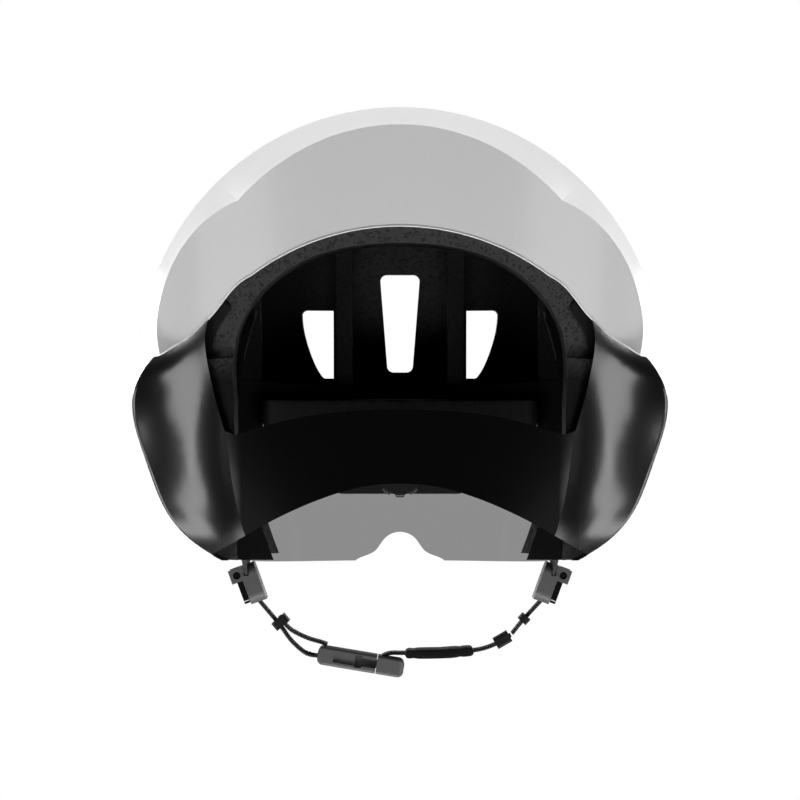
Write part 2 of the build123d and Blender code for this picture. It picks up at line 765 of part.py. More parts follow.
def base_recesses():
    """Pockets in the foam for the pins' base plates"""
    found = []
    for side in (1, -1):
        plane = Plane((side * (anchor_base - base_r), anchor_reach, -anchor_drop), z_dir=(side, 0, 0))
        found.append(Solid.make_cylinder(base_r + fit_gap, base_r + base_thick + fit_gap * 0.5, plane))
    return found


def temple_pins():
    found = []
    for side in (1, -1):
        plane = Plane((side * anchor_base, anchor_reach, -anchor_drop), z_dir=(side, 0, 0))
        base = Solid.make_cylinder(base_r, base_thick, plane)
        pin = Solid.make_cylinder(pin_r, pin_length + base_thick, plane.offset(-pin_length))
        found.append(base + pin)
    return found


def cradle_housing():
    far = rack_zone()[1] + running_gap
    half = far + cradle_lip
    y = -cradle_face
    depth = housing_depth()
    body = slab(-cradle_half, cradle_half, y - depth, y, -cradle_drop - half, -cradle_drop + half)
    corners = body.edges().filter_by(Axis.Y)
    body = soften(body, corners, cradle_round)
    slot_y = y - cradle_front_wall
    slot = slab(-cradle_half - overrun, cradle_half + overrun, slot_y - rack_depth - running_gap * 2, slot_y,
                -cradle_drop - far, -cradle_drop + far)
    bore = Solid.make_cylinder(axle_r + axle_gap, depth, Plane((0, y - depth * 0.5, -cradle_drop), z_dir=(0, -1, 0)))
    return body - slot - bore


def dial_pinion():
    face = -cradle_face - cradle_front_wall - running_gap
    plane = Plane((0, face, -cradle_drop), x_dir=(1, 0, 0), z_dir=(0, -1, 0))
    body = Solid.make_cylinder(pinion_r - tooth_depth, rack_depth, plane)
    for i in range(pinion_teeth):
        a = 360 * i / pinion_teeth
        root, tip = tooth_width * 0.65, tooth_width * 0.32
        r = pinion_r + tooth_depth
        base = pinion_r - tooth_depth * 2
        corners = [Vector(-root, base, 0), Vector(root, base, 0), Vector(tip, r, 0), Vector(-tip, r, 0)]
        tooth = extrude(Face(Wire.make_polygon(corners)), amount=rack_depth, dir=(0, 0, 1))
        turned = tooth.moved(Location((0, 0, 0), (0, 0, a)))
        body = body + turned.moved(plane.location)
    axle = housing_depth() - cradle_front_wall + dial_depth * 0.7
    return body + Solid.make_cylinder(axle_r, axle, plane)


def fit_dial():
    y = -cradle_face - housing_depth() - running_gap
    plane = Plane((0, y, -cradle_drop), x_dir=(1, 0, 0), z_dir=(0, -1, 0))
    body = Solid.make_cylinder(dial_r, dial_depth, plane)
    rim = [edge for edge in body.edges() if edge.bounding_box().max.Y < y - dial_depth * 0.5]
    body = soften(body, rim, dial_depth * 0.22)
    for i in range(dial_flutes):
        a = radians(360 * (i + 0.5) / dial_flutes - 90)
        at = (dial_r + flute_r * 0.25) * cos(a), y + overrun * 0.1, -cradle_drop + (dial_r + flute_r * 0.25) * sin(a)
        body = body - Solid.make_cylinder(flute_r, dial_depth + overrun, Plane(at, z_dir=(0, -1, 0)))
    bore = Solid.make_cylinder(axle_r + press_gap, dial_depth * 0.7 + press_gap, plane)
    return body - bore


# Pads

def pad_on_head(x0, x1, y0, y1, z0, z1):
    """Pad between the foam and the head, inside a box"""
    body = (head_room(-press_gap * 5) - head_room(-pad_thick)) & slab(x0, x1, y0, y1, z0, z1)
    body = solids_of(body)[0]
    inner = [edge for edge in body.edges() if edge.length > pad_thick * 1.5]
    inner = sorted(inner, key=lambda edge: (edge.center() - Vector(0, 0, head_rise)).length)[:4]
    return soften(body, inner, pad_round)


def forehead_pad():
    return pad_on_head(-brow_pad_half, brow_pad_half, head_y * 0.3, dome_r, brow_pad_foot, brow_pad_top)


def side_pad(side):
    return pad_on_head(side * side_pad_foot, side * dome_r, -side_pad_half, side_pad_half,
                       side_pad_foot, side_pad_top)


def rib_pad(side):
    middle = centre_channel + rib_width / 2
    return pad_on_head(side * (middle - rib_pad_width / 2), side * (middle + rib_pad_width / 2),
                       -rib_pad_back, rib_pad_front, head_rise + head_z * 0.4, dome_r * 2)


def nape_pads():
    found = []
    for side in (1, -1):
        pad = slab(side * nape_pad_in, side * nape_pad_out, -cradle_face + press_gap,
                   -cradle_face + nape_pad_thick, -cradle_drop - nape_pad_half, -cradle_drop + nape_pad_half)
        front = [edge for edge in pad.edges() if edge.bounding_box().min.Y > -cradle_face + nape_pad_thick * 0.5]
        found.append(soften(soften(pad, pad.edges().filter_by(Axis.Y), nape_pad_thick * 0.7), front, pad_round * 0.4))
    return found


# Straps

def web(start, end, across, width, thick):
    """Straight piece of flat webbing between two points"""
    start, end, across = Vector(*start), Vector(*end), Vector(*across)
    along = end - start
    plane = Plane(origin=start, x_dir=across, z_dir=along)
    base = Face.make_rect(width, thick, plane)
    return extrude(base, amount=along.length, dir=along.normalized())


def strap_ends(side, front):
    """Foam end and divider end of one upper strap"""
    way = 1 if front else -1
    top = (side * strap_in, way * strap_spread, -strap_top)
    rise = divider_height / 2 - socket_depth * 0.5
    foot = (side * (divider_at + rise * sin(radians(divider_tilt))), way * divider_half * 0.4,
            -divider_drop + rise * cos(radians(divider_tilt)))
    return top, foot


def upper_strap(side, front, grow):
    top, foot = strap_ends(side, front)
    across = (0, strap_lean if front else -strap_lean, -1)
    return web(top, foot, across, upper_web_width + grow * 2, web_thick + grow * 2)


def strap_slots():
    found = []
    for side in (1, -1):
        for front in (True, False):
            found.append(upper_strap(side, front, web_gap))
            found.append(anchor_plate(side, front, web_gap))
    return found


def anchor_plate(side, front, grow):
    x, y, z = strap_ends(side, front)[0]
    half = anchor_side / 2 + grow
    thick = anchor_thick / 2 + grow
    foot = z + upper_web_width * 0.45 + web_gap - grow
    return slab(x - half * 0.35, x + half * 0.35, y - half, y + half, foot, foot + thick * 2)


def placed_at_divider(body, side):
    """Moves a shape drawn about the origin to its divider"""
    return body.moved(Location((side * divider_at, 0, -divider_drop), (0, side * divider_tilt, 0)))


def strap_divider(side):
    half = divider_height / 2
    t = divider_thick / 2
    body = slab(-t, t, -divider_half, divider_half, -half, half)
    body = soften(body, body.edges().filter_by(Axis.X), divider_round * 1.8)
    ear = lever_ear
    hinge_x, hinge_z = side * (t + lever_pin_r * 1.1), half - lever_pin_r * 1.9
    for way in (1, -1):
        y0, y1 = way * (divider_half - ear), way * divider_half * 0.98
        lug = slab(side * t * 0.5, side * (t + lever_pin_r * 3.0), y0, y1, half - lever_pin_r * 3.8, half)
        body = body + lug
    bore = Solid.make_cylinder(lever_pin_r + lever_pin_gap, divider_half * 2.4,
                               Plane((hinge_x, divider_half * 1.2, hinge_z), z_dir=(0, -1, 0)))
    body = body - bore
    body = body - slab(side * t, side * dome_r, -divider_half + ear, divider_half - ear, -dome_r, dome_r)
    pocket = Solid.make_cylinder(lever_pin_r * 2.0, (divider_half - ear) * 2,
                                 Plane((hinge_x, divider_half - ear, hinge_z), z_dir=(0, -1, 0)))
    body = placed_at_divider(body - pocket, side)
    for front in (True, False):
        body = body - upper_strap(side, front, web_gap)
    return body - chin_strap_end(side, web_gap)


def lever_hinge(side):
    """Middle of a lever's pin, in the part's own frame"""
    t, half = divider_thick / 2, divider_height / 2
    at = Vector(side * (t + lever_pin_r * 1.1), 0, half - lever_pin_r * 1.9)
    turned = at.rotate(Axis.Y, side * divider_tilt)
    return turned + Vector(side * divider_at, 0, -divider_drop)


def cam_lever(side):
    t, half = divider_thick / 2, divider_height / 2
    hinge_x, hinge_z = side * (t + lever_pin_r * 1.1), half - lever_pin_r * 1.9
    inner = divider_half - lever_ear - running_gap
    x0 = side * (t + running_gap)
    plate = slab(x0, x0 + side * lever_thick, -inner, inner, hinge_z - lever_height, hinge_z)
    barrel = Solid.make_cylinder(lever_pin_r * 1.7, inner * 2, Plane((hinge_x, inner, hinge_z), z_dir=(0, -1, 0)))
    reach = divider_half * 0.95
    pin = Solid.make_cylinder(lever_pin_r, reach * 2, Plane((hinge_x, reach, hinge_z), z_dir=(0, -1, 0)))
    plate = soften(plate, [edge for edge in plate.edges().filter_by(Axis.X)
                           if edge.center().Z < hinge_z - lever_height * 0.5], divider_round)
    return placed_at_divider(plate + barrel + pin, side)


def strap_path(shares):
    return [(x * buckle_drop, z * buckle_drop) for x, z in shares]


def webbing(points, width, thick):
    start = -width / 2
    return band_prism(points, thick, lambda x, z: (x, start, z), (0, 1, 0), width)


def chin_strap_end(side, grow):
    """Piece of chin strap inside a divider"""
    points = strap_path(left_strap_shares if side < 0 else right_strap_shares)
    (x0, z0), (x1, z1) = points[0], points[1]
    run = sqrt((x1 - x0) ** 2 + (z1 - z0) ** 2)
    back = socket_depth / run
    start = (x0 - (x1 - x0) * back, 0, z0 - (z1 - z0) * back)
    return web(start, (x1, 0, z1), (0, 1, 0), web_width + grow * 2, web_thick + grow * 2)


def chin_strap_top(side):
    """Upper end of a chin strap, seated in its divider"""
    points = strap_path(left_strap_shares if side < 0 else right_strap_shares)
    (x0, z0), (x1, z1) = points[0], points[1]
    run = sqrt((x1 - x0) ** 2 + (z1 - z0) ** 2)
    back = (socket_depth - web_gap) / run
    start = (x0 - (x1 - x0) * back, 0, z0 - (z1 - z0) * back)
    return web(start, (x0 + (x1 - x0) * 0.1, 0, z0 + (z1 - z0) * 0.1), (0, 1, 0), web_width, web_thick)


def chin_strap_left():
    return webbing(strap_path(left_strap_shares), web_width, web_thick) + chin_strap_top(-1)


def chin_strap_right():
    return webbing(strap_path(right_strap_shares), web_width, web_thick) + chin_strap_top(1)


def chin_strap_low(grow):
    return webbing(strap_path(low_strap_shares), web_width + grow * 2, web_thick + grow * 2)


def strap_tail():
    return webbing(strap_path(tail_strap_shares), web_width, web_thick)


# Buckle, drawn about its own middle and then tilted into place

def placed_buckle(body):
    return body.moved(Location((buckle_at, 0, -buckle_drop), (0, buckle_tilt, 0)))


def split_at():
    """Parting line between the buckle's body and its tongue"""
    return buckle_length / 2 - tongue_length


def catch_form(gap):
    """Tab with a thicker rim that slides in the buckle's channel"""
    x1 = split_at()
    half = catch_height / 2 + gap
    y0, y1 = -buckle_depth * 0.38 - gap, buckle_depth * 0.38 + gap
    neck = slab(x1 - catch_length - gap, x1 + catch_wall, y0, y1, -half, half)
    rim = slab(x1 - catch_length - gap, x1 - catch_length + catch_wall + gap, y0, y1,
               -half - catch_height * 0.3, half + catch_height * 0.3)
    return neck + rim


def rounded_bar(x0, x1):
    bar = slab(x0, x1, -buckle_depth / 2, buckle_depth / 2, -buckle_height / 2, buckle_height / 2)
    return bar


def buckle_magnet_at(z):
    x = split_at() - catch_length * 0.38
    return Plane((x, 0, z), z_dir=(0, 0, 1))


def buckle_body():
    x0, x1 = -buckle_length / 2, split_at()
    bar = rounded_bar(x0, x1)
    outer = [edge for edge in bar.edges() if edge.center().X < x0 + buckle_round]
    bar = soften(bar, outer, buckle_round)
    long_edges = [edge for edge in bar.edges() if edge.length > (x1 - x0) * 0.7 and abs(edge.center().X) < x1]
    bar = soften(bar, long_edges, buckle_round * 0.5)
    channel = catch_form(catch_gap)
    open_side = channel + channel.moved(Location((0, -buckle_depth * 0.5, 0)))
    bar = bar - open_side
    window = slab(x0 + window_in, x0 + window_in + window_length, -buckle_depth, -buckle_depth / 2 + window_depth,
                  -window_height / 2, window_height / 2)
    inner_wall = catch_height / 2 + catch_gap + catch_height * 0.12
    pocket = Solid.make_cylinder(buckle_magnet_r + press_gap, buckle_magnet_thick + press_gap * 2,
                                 buckle_magnet_at(inner_wall - press_gap))
    body = placed_buckle(bar - window - pocket)
    return body - webbing(strap_path(left_strap_shares), web_width + web_gap, web_thick + web_gap * 2)


def buckle_magnet():
    inner_wall = catch_height / 2 + catch_gap + catch_height * 0.12
    return placed_buckle(Solid.make_cylinder(buckle_magnet_r, buckle_magnet_thick, buckle_magnet_at(inner_wall)))


def tongue_magnet():
    half = buckle_magnet_thick / 2
    return placed_buckle(Solid.make_cylinder(buckle_magnet_r, buckle_magnet_thick, buckle_magnet_at(-half)))


def buckle_tongue():
    x0, x1 = split_at() + running_gap, buckle_length / 2
    bar = rounded_bar(x0, x1)
    outer = [edge for edge in bar.edges() if edge.center().X > x1 - buckle_round]
    bar = soften(bar, outer, buckle_round)
    long_edges = [edge for edge in bar.edges().filter_by(Axis.X) if edge.length > tongue_length * 0.3]
    bar = soften(bar, long_edges, buckle_round * 0.5)
    half = buckle_magnet_thick / 2 + press_gap
    pocket = Solid.make_cylinder(buckle_magnet_r + press_gap, half * 2, buckle_magnet_at(-half))
    body = placed_buckle(bar + catch_form(0) - pocket)
    return body - chin_strap_low(web_gap)


def chin_pad():
    points = [(chin_pad_in, -chin_pad_drop), ((chin_pad_in + chin_pad_out) / 2, -chin_pad_drop),
              (chin_pad_out, -chin_pad_drop + chin_pad_thick * 0.26)]
    body = band_prism(points, chin_pad_thick, lambda x, z: (x, -chin_pad_depth / 2, z), (0, 1, 0), chin_pad_depth)
    body = soften(body, body.edges().filter_by(Axis.Y), chin_pad_round)
    return body - chin_strap_low(web_gap * 0.5)


def keeper_ring(at, along, room, width):
    """Ring around the webbing, at a point of its middle line"""
    ax, az = along
    length = sqrt(ax * ax + az * az)
    ax, az = ax / length, az / length
    start = (at[0] - ax * width / 2, 0, at[1] - az * width / 2)
    plane = Plane(origin=start, x_dir=(0, 1, 0), z_dir=(ax, 0, az))
    inner = Face.make_rect(web_width + keeper_gap * 2, room, plane)
    outer = Face.make_rect(web_width + (keeper_gap + keeper_wall) * 2, room + keeper_wall * 2, plane)
    ring = extrude(outer, amount=width, dir=(ax, 0, az))
    ring = soften(ring, [edge for edge in ring.edges() if abs(edge.length - width) < press_gap], keeper_wall)
    return ring - extrude(inner, amount=width, dir=(ax, 0, az))


def between(points, i, share):
    """Point and direction part of the way along a stretch of a middle line"""
    (x0, z0), (x1, z1) = points[i], points[i + 1]
    return (x0 + (x1 - x0) * share, z0 + (z1 - z0) * share), (x1 - x0, z1 - z0)


def strap_keeper_left():
    at, along = between(strap_path(left_strap_shares), 0, 0.93)
    length = sqrt(along[0] ** 2 + along[1] ** 2)
    step = web_thick * 0.8
    at = (at[0] - along[1] / length * step, at[1] + along[0] / length * step)
    return keeper_ring(at, along, web_thick * 2 + keeper_gap * 9, keeper_width)


def strap_keeper_right():
    at, along = between(strap_path(right_strap_shares), 0, 0.85)
    return keeper_ring(at, along, web_thick + keeper_gap * 2, keeper_width * 0.8)


def strap_keeper_tail():
    at, along = between(strap_path(low_strap_shares), 0, 0.5)
    return keeper_ring(at, along, web_thick + keeper_gap * 5, tail_keeper_width)


def sub_parts():
    """Every sub-part by name"""
    parts = {
        "upper_shell": upper_shell(), "lower_shell": lower_shell(), "crown_liner": crown_liner(),
        "lower_liner": lower_liner(), "visor_lens": visor_lens(), "visor_magnets": visor_magnets(),
        "shell_magnets": shell_magnets(), "forehead_pad": forehead_pad(), "nape_pads": nape_pads(),
        "cradle_housing": cradle_housing(), "fit_dial": fit_dial(), "dial_pinion": dial_pinion(),
        "temple_pins": temple_pins(), "strap_anchors": [], "chin_strap_left": chin_strap_left(),
        "chin_strap_right": chin_strap_right(), "chin_strap_low": chin_strap_low(0),
        "strap_tail": strap_tail(), "buckle_body": buckle_body(), "buckle_tongue": buckle_tongue(),
        "buckle_magnet": buckle_magnet(), "tongue_magnet": tongue_magnet(), "chin_pad": chin_pad(),
        "strap_keeper_left": strap_keeper_left(), "strap_keeper_right": strap_keeper_right(),
        "strap_keeper_tail": strap_keeper_tail(),
    }
    for side, word in ((-1, "left"), (1, "right")):
        parts["fit_band_" + word] = fit_band(side)
        parts["side_pad_" + word] = side_pad(side)
        parts["rib_pad_" + word] = rib_pad(side)
        parts["strap_front_" + word] = upper_strap(side, True, 0)
        parts["strap_rear_" + word] = upper_strap(side, False, 0)
        parts["strap_divider_" + word] = strap_divider(side)
        parts["cam_lever_" + word] = cam_lever(side)
        for front in (True, False):
            parts["strap_anchors"].append(anchor_plate(side, front, 0))
    return parts


if __name__ == "__main__":
    os.makedirs("parts", exist_ok=True)
    for name, shape in sub_parts().items():
        if isinstance(shape, list):
            shape = Compound(children=shape)
        export_step(shape, "parts/" + name + ".step")
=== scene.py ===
# %% [markdown]
# # An aero helmet seen from behind
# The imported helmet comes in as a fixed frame. Every rigid piece keeps its mesh and gets a finish,
# and the soft pieces (pads and webbing) are made again here, because cloth needs shapes that a
# solid modeller does not give. Everything is in metres, in the frame of the helmet.

import bpy
import bmesh
import math
from mathutils import Vector, Matrix


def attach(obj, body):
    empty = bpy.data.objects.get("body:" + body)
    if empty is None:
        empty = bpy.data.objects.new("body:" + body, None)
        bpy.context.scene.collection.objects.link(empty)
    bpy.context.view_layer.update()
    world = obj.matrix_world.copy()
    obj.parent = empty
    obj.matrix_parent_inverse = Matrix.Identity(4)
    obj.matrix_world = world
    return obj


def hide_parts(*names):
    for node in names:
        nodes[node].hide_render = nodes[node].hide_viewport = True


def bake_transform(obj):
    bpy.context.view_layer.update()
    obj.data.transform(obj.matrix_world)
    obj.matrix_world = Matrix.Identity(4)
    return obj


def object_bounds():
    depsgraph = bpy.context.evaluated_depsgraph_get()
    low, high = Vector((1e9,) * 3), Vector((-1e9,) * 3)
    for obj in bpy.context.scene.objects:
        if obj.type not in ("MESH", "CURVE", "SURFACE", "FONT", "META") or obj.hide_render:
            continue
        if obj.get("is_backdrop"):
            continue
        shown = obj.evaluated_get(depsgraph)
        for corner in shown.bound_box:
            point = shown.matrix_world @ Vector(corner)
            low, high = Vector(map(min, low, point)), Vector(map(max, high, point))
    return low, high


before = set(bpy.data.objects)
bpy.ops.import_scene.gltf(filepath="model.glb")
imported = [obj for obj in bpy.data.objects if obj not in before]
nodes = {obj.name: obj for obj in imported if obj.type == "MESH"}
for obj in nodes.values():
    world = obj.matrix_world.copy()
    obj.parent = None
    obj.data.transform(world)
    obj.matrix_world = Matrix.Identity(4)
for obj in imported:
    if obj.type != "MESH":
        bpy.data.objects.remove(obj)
cad_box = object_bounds()
mm = 0.001
both_sides = ((-1, "left"), (1, "right"))

# %% [markdown]
# Three short helpers save the same lines later: they link a mesh as an object, make a piece the one
# that operators work on, and turn all the faces of a mesh outwards.

# %% Helpers for pieces
def new_piece(name, data):
    """Object for a mesh, camera or light, linked to the scene"""
    piece = bpy.data.objects.new(name, data)
    bpy.context.scene.collection.objects.link(piece)
    return piece


def make_active(piece):
    bpy.ops.object.select_all(action="DESELECT")
    piece.select_set(True)
    bpy.context.view_layer.objects.active = piece


def face_outwards(mesh, triangulate=False):
    work = bmesh.new()
    work.from_mesh(mesh)
    if triangulate:
        bmesh.ops.triangulate(work, faces=work.faces)
    bmesh.ops.recalc_face_normals(work, faces=work.faces)
    work.to_mesh(mesh)
    work.free()


print("piece helpers ready")

# %% [markdown]
# ## Camera
# The picture is level and straight from behind, taken from far away with a long lens, so that the
# sides of the helmet hardly converge. A short lens close by would also fit the outline but would
# make the tail look too large beside the wings.

# %% Camera
camera_away = 2.270
camera_height = 0.0115
camera_lens = 234.3
camera_sensor = 36.0

camera_data = bpy.data.cameras.new("rear_camera")
camera_data.lens = camera_lens
camera_data.sensor_width = camera_sensor
camera = new_piece("rear_camera", camera_data)
camera.location = (0, -camera_away, camera_height)
camera.rotation_euler = (math.pi / 2, 0, 0)
bpy.context.scene.camera = camera
print("camera", camera_away, "m away, lens", camera_lens, "mm")

# %% [markdown]
# ## Studio
# The helmet floats in front of plain white. A lit white room would do that, but a black glossy
# shell mirrors its room and would turn grey. So the world is white only to the camera, and dim to
# everything else.

# %% World
room_glow = 0.02
white = (1, 1, 1, 1)


def studio_world():
    world = bpy.data.worlds.new("studio")
    bpy.context.scene.world = world
    world.use_nodes = True
    tree = world.node_tree
    tree.nodes.clear()
    out = tree.nodes.new("ShaderNodeOutputWorld")
    dim = tree.nodes.new("ShaderNodeBackground")
    dim.inputs["Color"].default_value = white
    dim.inputs["Strength"].default_value = room_glow
    bright = tree.nodes.new("ShaderNodeBackground")
    bright.inputs["Color"].default_value = white
    bright.inputs["Strength"].default_value = 1.0
    path = tree.nodes.new("ShaderNodeLightPath")
    mix = tree.nodes.new("ShaderNodeMixShader")
    tree.links.new(path.outputs["Is Camera Ray"], mix.inputs["Fac"])
    tree.links.new(dim.outputs[0], mix.inputs[1])
    tree.links.new(bright.outputs[0], mix.inputs[2])
    tree.links.new(mix.outputs[0], out.inputs["Surface"])


studio_world()
bpy.context.scene.view_settings.view_transform = "Standard"
print("white world, dim to reflections:", room_glow)

# %% [markdown]
# The floor glows white to the camera and is clear from below, so that a view from under the helmet
# is not blocked. It throws no light, takes no shadow and shows in no reflection.

# %% Floor
floor_height, floor_half = -0.2, 6.0


def studio_floor(height, half):
    mesh = bpy.data.meshes.new("floor")
    corners = [(-half, -half, height), (half, -half, height),
               (half, half, height), (-half, half, height)]
    mesh.from_pydata(corners, [], [(0, 1, 2, 3)])
    floor = new_piece("floor", mesh)
    floor.visible_glossy = False
    floor.visible_diffuse = False
    floor.visible_shadow = False
    material = bpy.data.materials.new("pale floor")
    material.use_nodes = True
    tree = material.node_tree
    tree.nodes.clear()
    out = tree.nodes.new("ShaderNodeOutputMaterial")
    glow = tree.nodes.new("ShaderNodeEmission")
    glow.inputs["Color"].default_value = white
    clear = tree.nodes.new("ShaderNodeBsdfTransparent")
    side = tree.nodes.new("ShaderNodeNewGeometry")
    mix = tree.nodes.new("ShaderNodeMixShader")
    tree.links.new(side.outputs["Backfacing"], mix.inputs["Fac"])
    tree.links.new(glow.outputs[0], mix.inputs[1])
    tree.links.new(clear.outputs[0], mix.inputs[2])
    tree.links.new(mix.outputs[0], out.inputs["Surface"])
    mesh.materials.append(material)
    floor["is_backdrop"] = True


studio_floor(floor_height, floor_half)
print("floor at", floor_height, "m")

# %% [markdown]
# ## Lights
# The shell is almost white at its top and sides, and grey on the cut-off tail that faces us. So the
# strong light comes from above, from both sides and from in front of the rider, and two weaker
# boxes behind, one low and one high, light the tail. Each black ear wing mirrors three boxes beside
# and below it, which join into one long upright sheen. The edge boxes, far in front, graze the rims
# of the wings and draw a thin light line there. A box in the second list stands on both sides, at
# plus and minus its first coordinate.

# %% Lights
def soft_box(title, place, towards, wide, tall, power):
    data = bpy.data.lights.new(title, "AREA")
    data.shape = "RECTANGLE"
    data.size = wide
    data.size_y = tall
    data.energy = power
    lamp = new_piece(title, data)
    lamp.location = place
    lamp.rotation_euler = (Vector(towards) - Vector(place)).to_track_quat("-Z", "Y").to_euler()


middle_boxes = [
    ("top_box", (0, 0.25, 1.5), (0, 0, 0), 1.8, 1.6, 30),
    ("front_box", (0, 1.6, 1.4), (0, 0, 0.02), 1.8, 1.0, 8),
    ("low_rear_box", (0, -1.0, -1.75), (0, -0.05, 0), 1.0, 0.7, 26),
    ("high_rear_box", (0, -2.2, 2.2), (0, 0, 0.05), 1.6, 0.8, 10),
]
wing = (0.08, -0.08, 0)
side_boxes = [
    ("_box", (1.22, 1.08, 0.5), (0, 0, 0), 0.9, 0.8, 26),
    ("_wing_box", (1.5, -0.62, -0.4), wing, 1.0, 1.1, 6.0),
    ("_mid_box", (1.3, 0.12, -0.95), wing, 0.6, 0.6, 1.9),
    ("_low_box", (0.95, 0.55, -1.2), wing, 0.5, 0.6, 1.5),
    ("_edge_box", (0.68, 2.0, -0.34), (0.1, 0, 0), 0.65, 1.1, 9),
]
for row in middle_boxes:
    soft_box(*row)
for side, word in both_sides:
    for ending, place, towards, wide, tall, power in side_boxes:
        there, aim = (side * place[0], *place[1:]), (side * towards[0], *towards[1:])
        soft_box(word + ending, there, aim, wide, tall, power)
print("lights:", len(middle_boxes) + 2 * len(side_boxes))

# %% [markdown]
# ## Shared effects
# Plastics, foam and cloth all need a fine pattern that moves the light a little. Each effect is a
# node group with its own sockets, built once, so that every finish can set its own grain size.
# The pattern is solid noise in the frame of the helmet, which needs no unwrapping and cannot
# stretch over the double-curved shells.

# %% Helpers for node trees
def new_group(title, inputs, outputs):
    """Shader node group with number inputs {name: start value} and number outputs"""
    group = bpy.data.node_groups.new(title, "ShaderNodeTree")
    for name, value in inputs.items():
        socket = group.interface.new_socket(name, in_out="INPUT", socket_type="NodeSocketFloat")
        socket.default_value = value
    for name in outputs:
        group.interface.new_socket(name, in_out="OUTPUT", socket_type="NodeSocketFloat")
    start = group.nodes.new("NodeGroupInput")
    end = group.nodes.new("NodeGroupOutput")
    return group, start, end


def maths(tree, kind, a, b=None, c=None):
    """Math node, where a, b and c are sockets or numbers"""
    node = tree.nodes.new("ShaderNodeMath")
    node.operation = kind
    for socket, value in zip(node.inputs, (a, b, c)):
        if value is None:
            continue
        if hasattr(value, "is_output"):
            tree.links.new(value, socket)
        else:
            socket.default_value = value
    return node.outputs[0]


def place_of(tree):
    """Place on the piece in the frame of the helmet"""
    return tree.nodes.new("ShaderNodeTexCoord").outputs["Object"]


# %% [markdown]
# Moulded grain: two sizes of noise added up. One alone looks like a printed pattern.

# %% Moulded grain
def build_grain():
    group, start, end = new_group("moulded grain", {"Scale": 900.0, "Ripple": 60.0},
                                  ["Height", "Tone"])
    place = place_of(group)
    fine = group.nodes.new("ShaderNodeTexNoise")
    fine.inputs["Detail"].default_value = 3.0
    wide = group.nodes.new("ShaderNodeTexNoise")
    wide.inputs["Detail"].default_value = 1.0
    for node, name in ((fine, "Scale"), (wide, "Ripple")):
        group.links.new(place, node.inputs["Vector"])
        group.links.new(start.outputs[name], node.inputs["Scale"])
    part = maths(group, "MULTIPLY", fine.outputs["Fac"], 0.4)
    both = maths(group, "MULTIPLY_ADD", wide.outputs["Fac"], 0.6, part)
    group.links.new(both, end.inputs["Height"])
    group.links.new(fine.outputs["Fac"], end.inputs["Tone"])
    return group


grain = build_grain()
print("group:", grain.name)

# %% [markdown]
# Foam beads: moulded foam is thousands of swollen beads pressed together. A Voronoi texture gives
# just such cells. Distance to the cell edge makes the fine grooves, and a random value for each
# cell makes some beads catch more light than others.

# %% Foam beads
def build_beads():
    group, start, end = new_group("foam beads", {"Scale": 420.0}, ["Height", "Speck"])
    place = place_of(group)
    cells = group.nodes.new("ShaderNodeTexVoronoi")
    edges = group.nodes.new("ShaderNodeTexVoronoi")
    edges.feature = "DISTANCE_TO_EDGE"
    for node in (cells, edges):
        group.links.new(place, node.inputs["Vector"])
        group.links.new(start.outputs["Scale"], node.inputs["Scale"])
    apart = group.nodes.new("ShaderNodeSeparateColor")
    group.links.new(cells.outputs["Color"], apart.inputs[0])
    bead = maths(group, "SMOOTH_MIN", edges.outputs["Distance"], 0.25, 0.1)
    group.links.new(bead, end.inputs["Height"])
    speck = maths(group, "POWER", apart.outputs[0], 2.5)
    group.links.new(speck, end.inputs["Speck"])
    return group


beads = build_beads()
print("group:", beads.name)

# %% [markdown]
# Knit: the pads are covered in a thin stretch fabric. Two crossed waves give its columns and rows,
# which is enough at this size. The waves run in the frame of the helmet, because the simulated pads
# have no unwrapping.

# %% Knit
def build_knit():
    group, start, end = new_group("knit", {"Pitch": 5200.0}, ["Height", "Tone"])
    place = place_of(group)
    apart = group.nodes.new("ShaderNodeSeparateXYZ")
    group.links.new(place, apart.inputs[0])
    across = maths(group, "ADD", apart.outputs[0], apart.outputs[1])
    col = maths(group, "SINE", maths(group, "MULTIPLY", across, start.outputs["Pitch"]))
    up = maths(group, "ADD", apart.outputs[2], maths(group, "MULTIPLY", apart.outputs[1], 0.5))
    row = maths(group, "SINE", maths(group, "MULTIPLY", up, start.outputs["Pitch"]))
    both = maths(group, "MULTIPLY", maths(group, "ABSOLUTE", col), maths(group, "ABSOLUTE", row))
    group.links.new(both, end.inputs["Height"])
    fuzz = group.nodes.new("ShaderNodeTexNoise")
    fuzz.inputs["Scale"].default_value = 260.0
    group.links.new(place, fuzz.inputs["Vector"])
    group.links.new(fuzz.outputs["Fac"], end.inputs["Tone"])
    return group


knit = build_knit()
print("group:", knit.name)

# %% [markdown]
# Webbing weave: tight ribs across the strap, each a row of slanted threads. The straps store how
# far along and across each point lies, so that the weave turns with the strap.

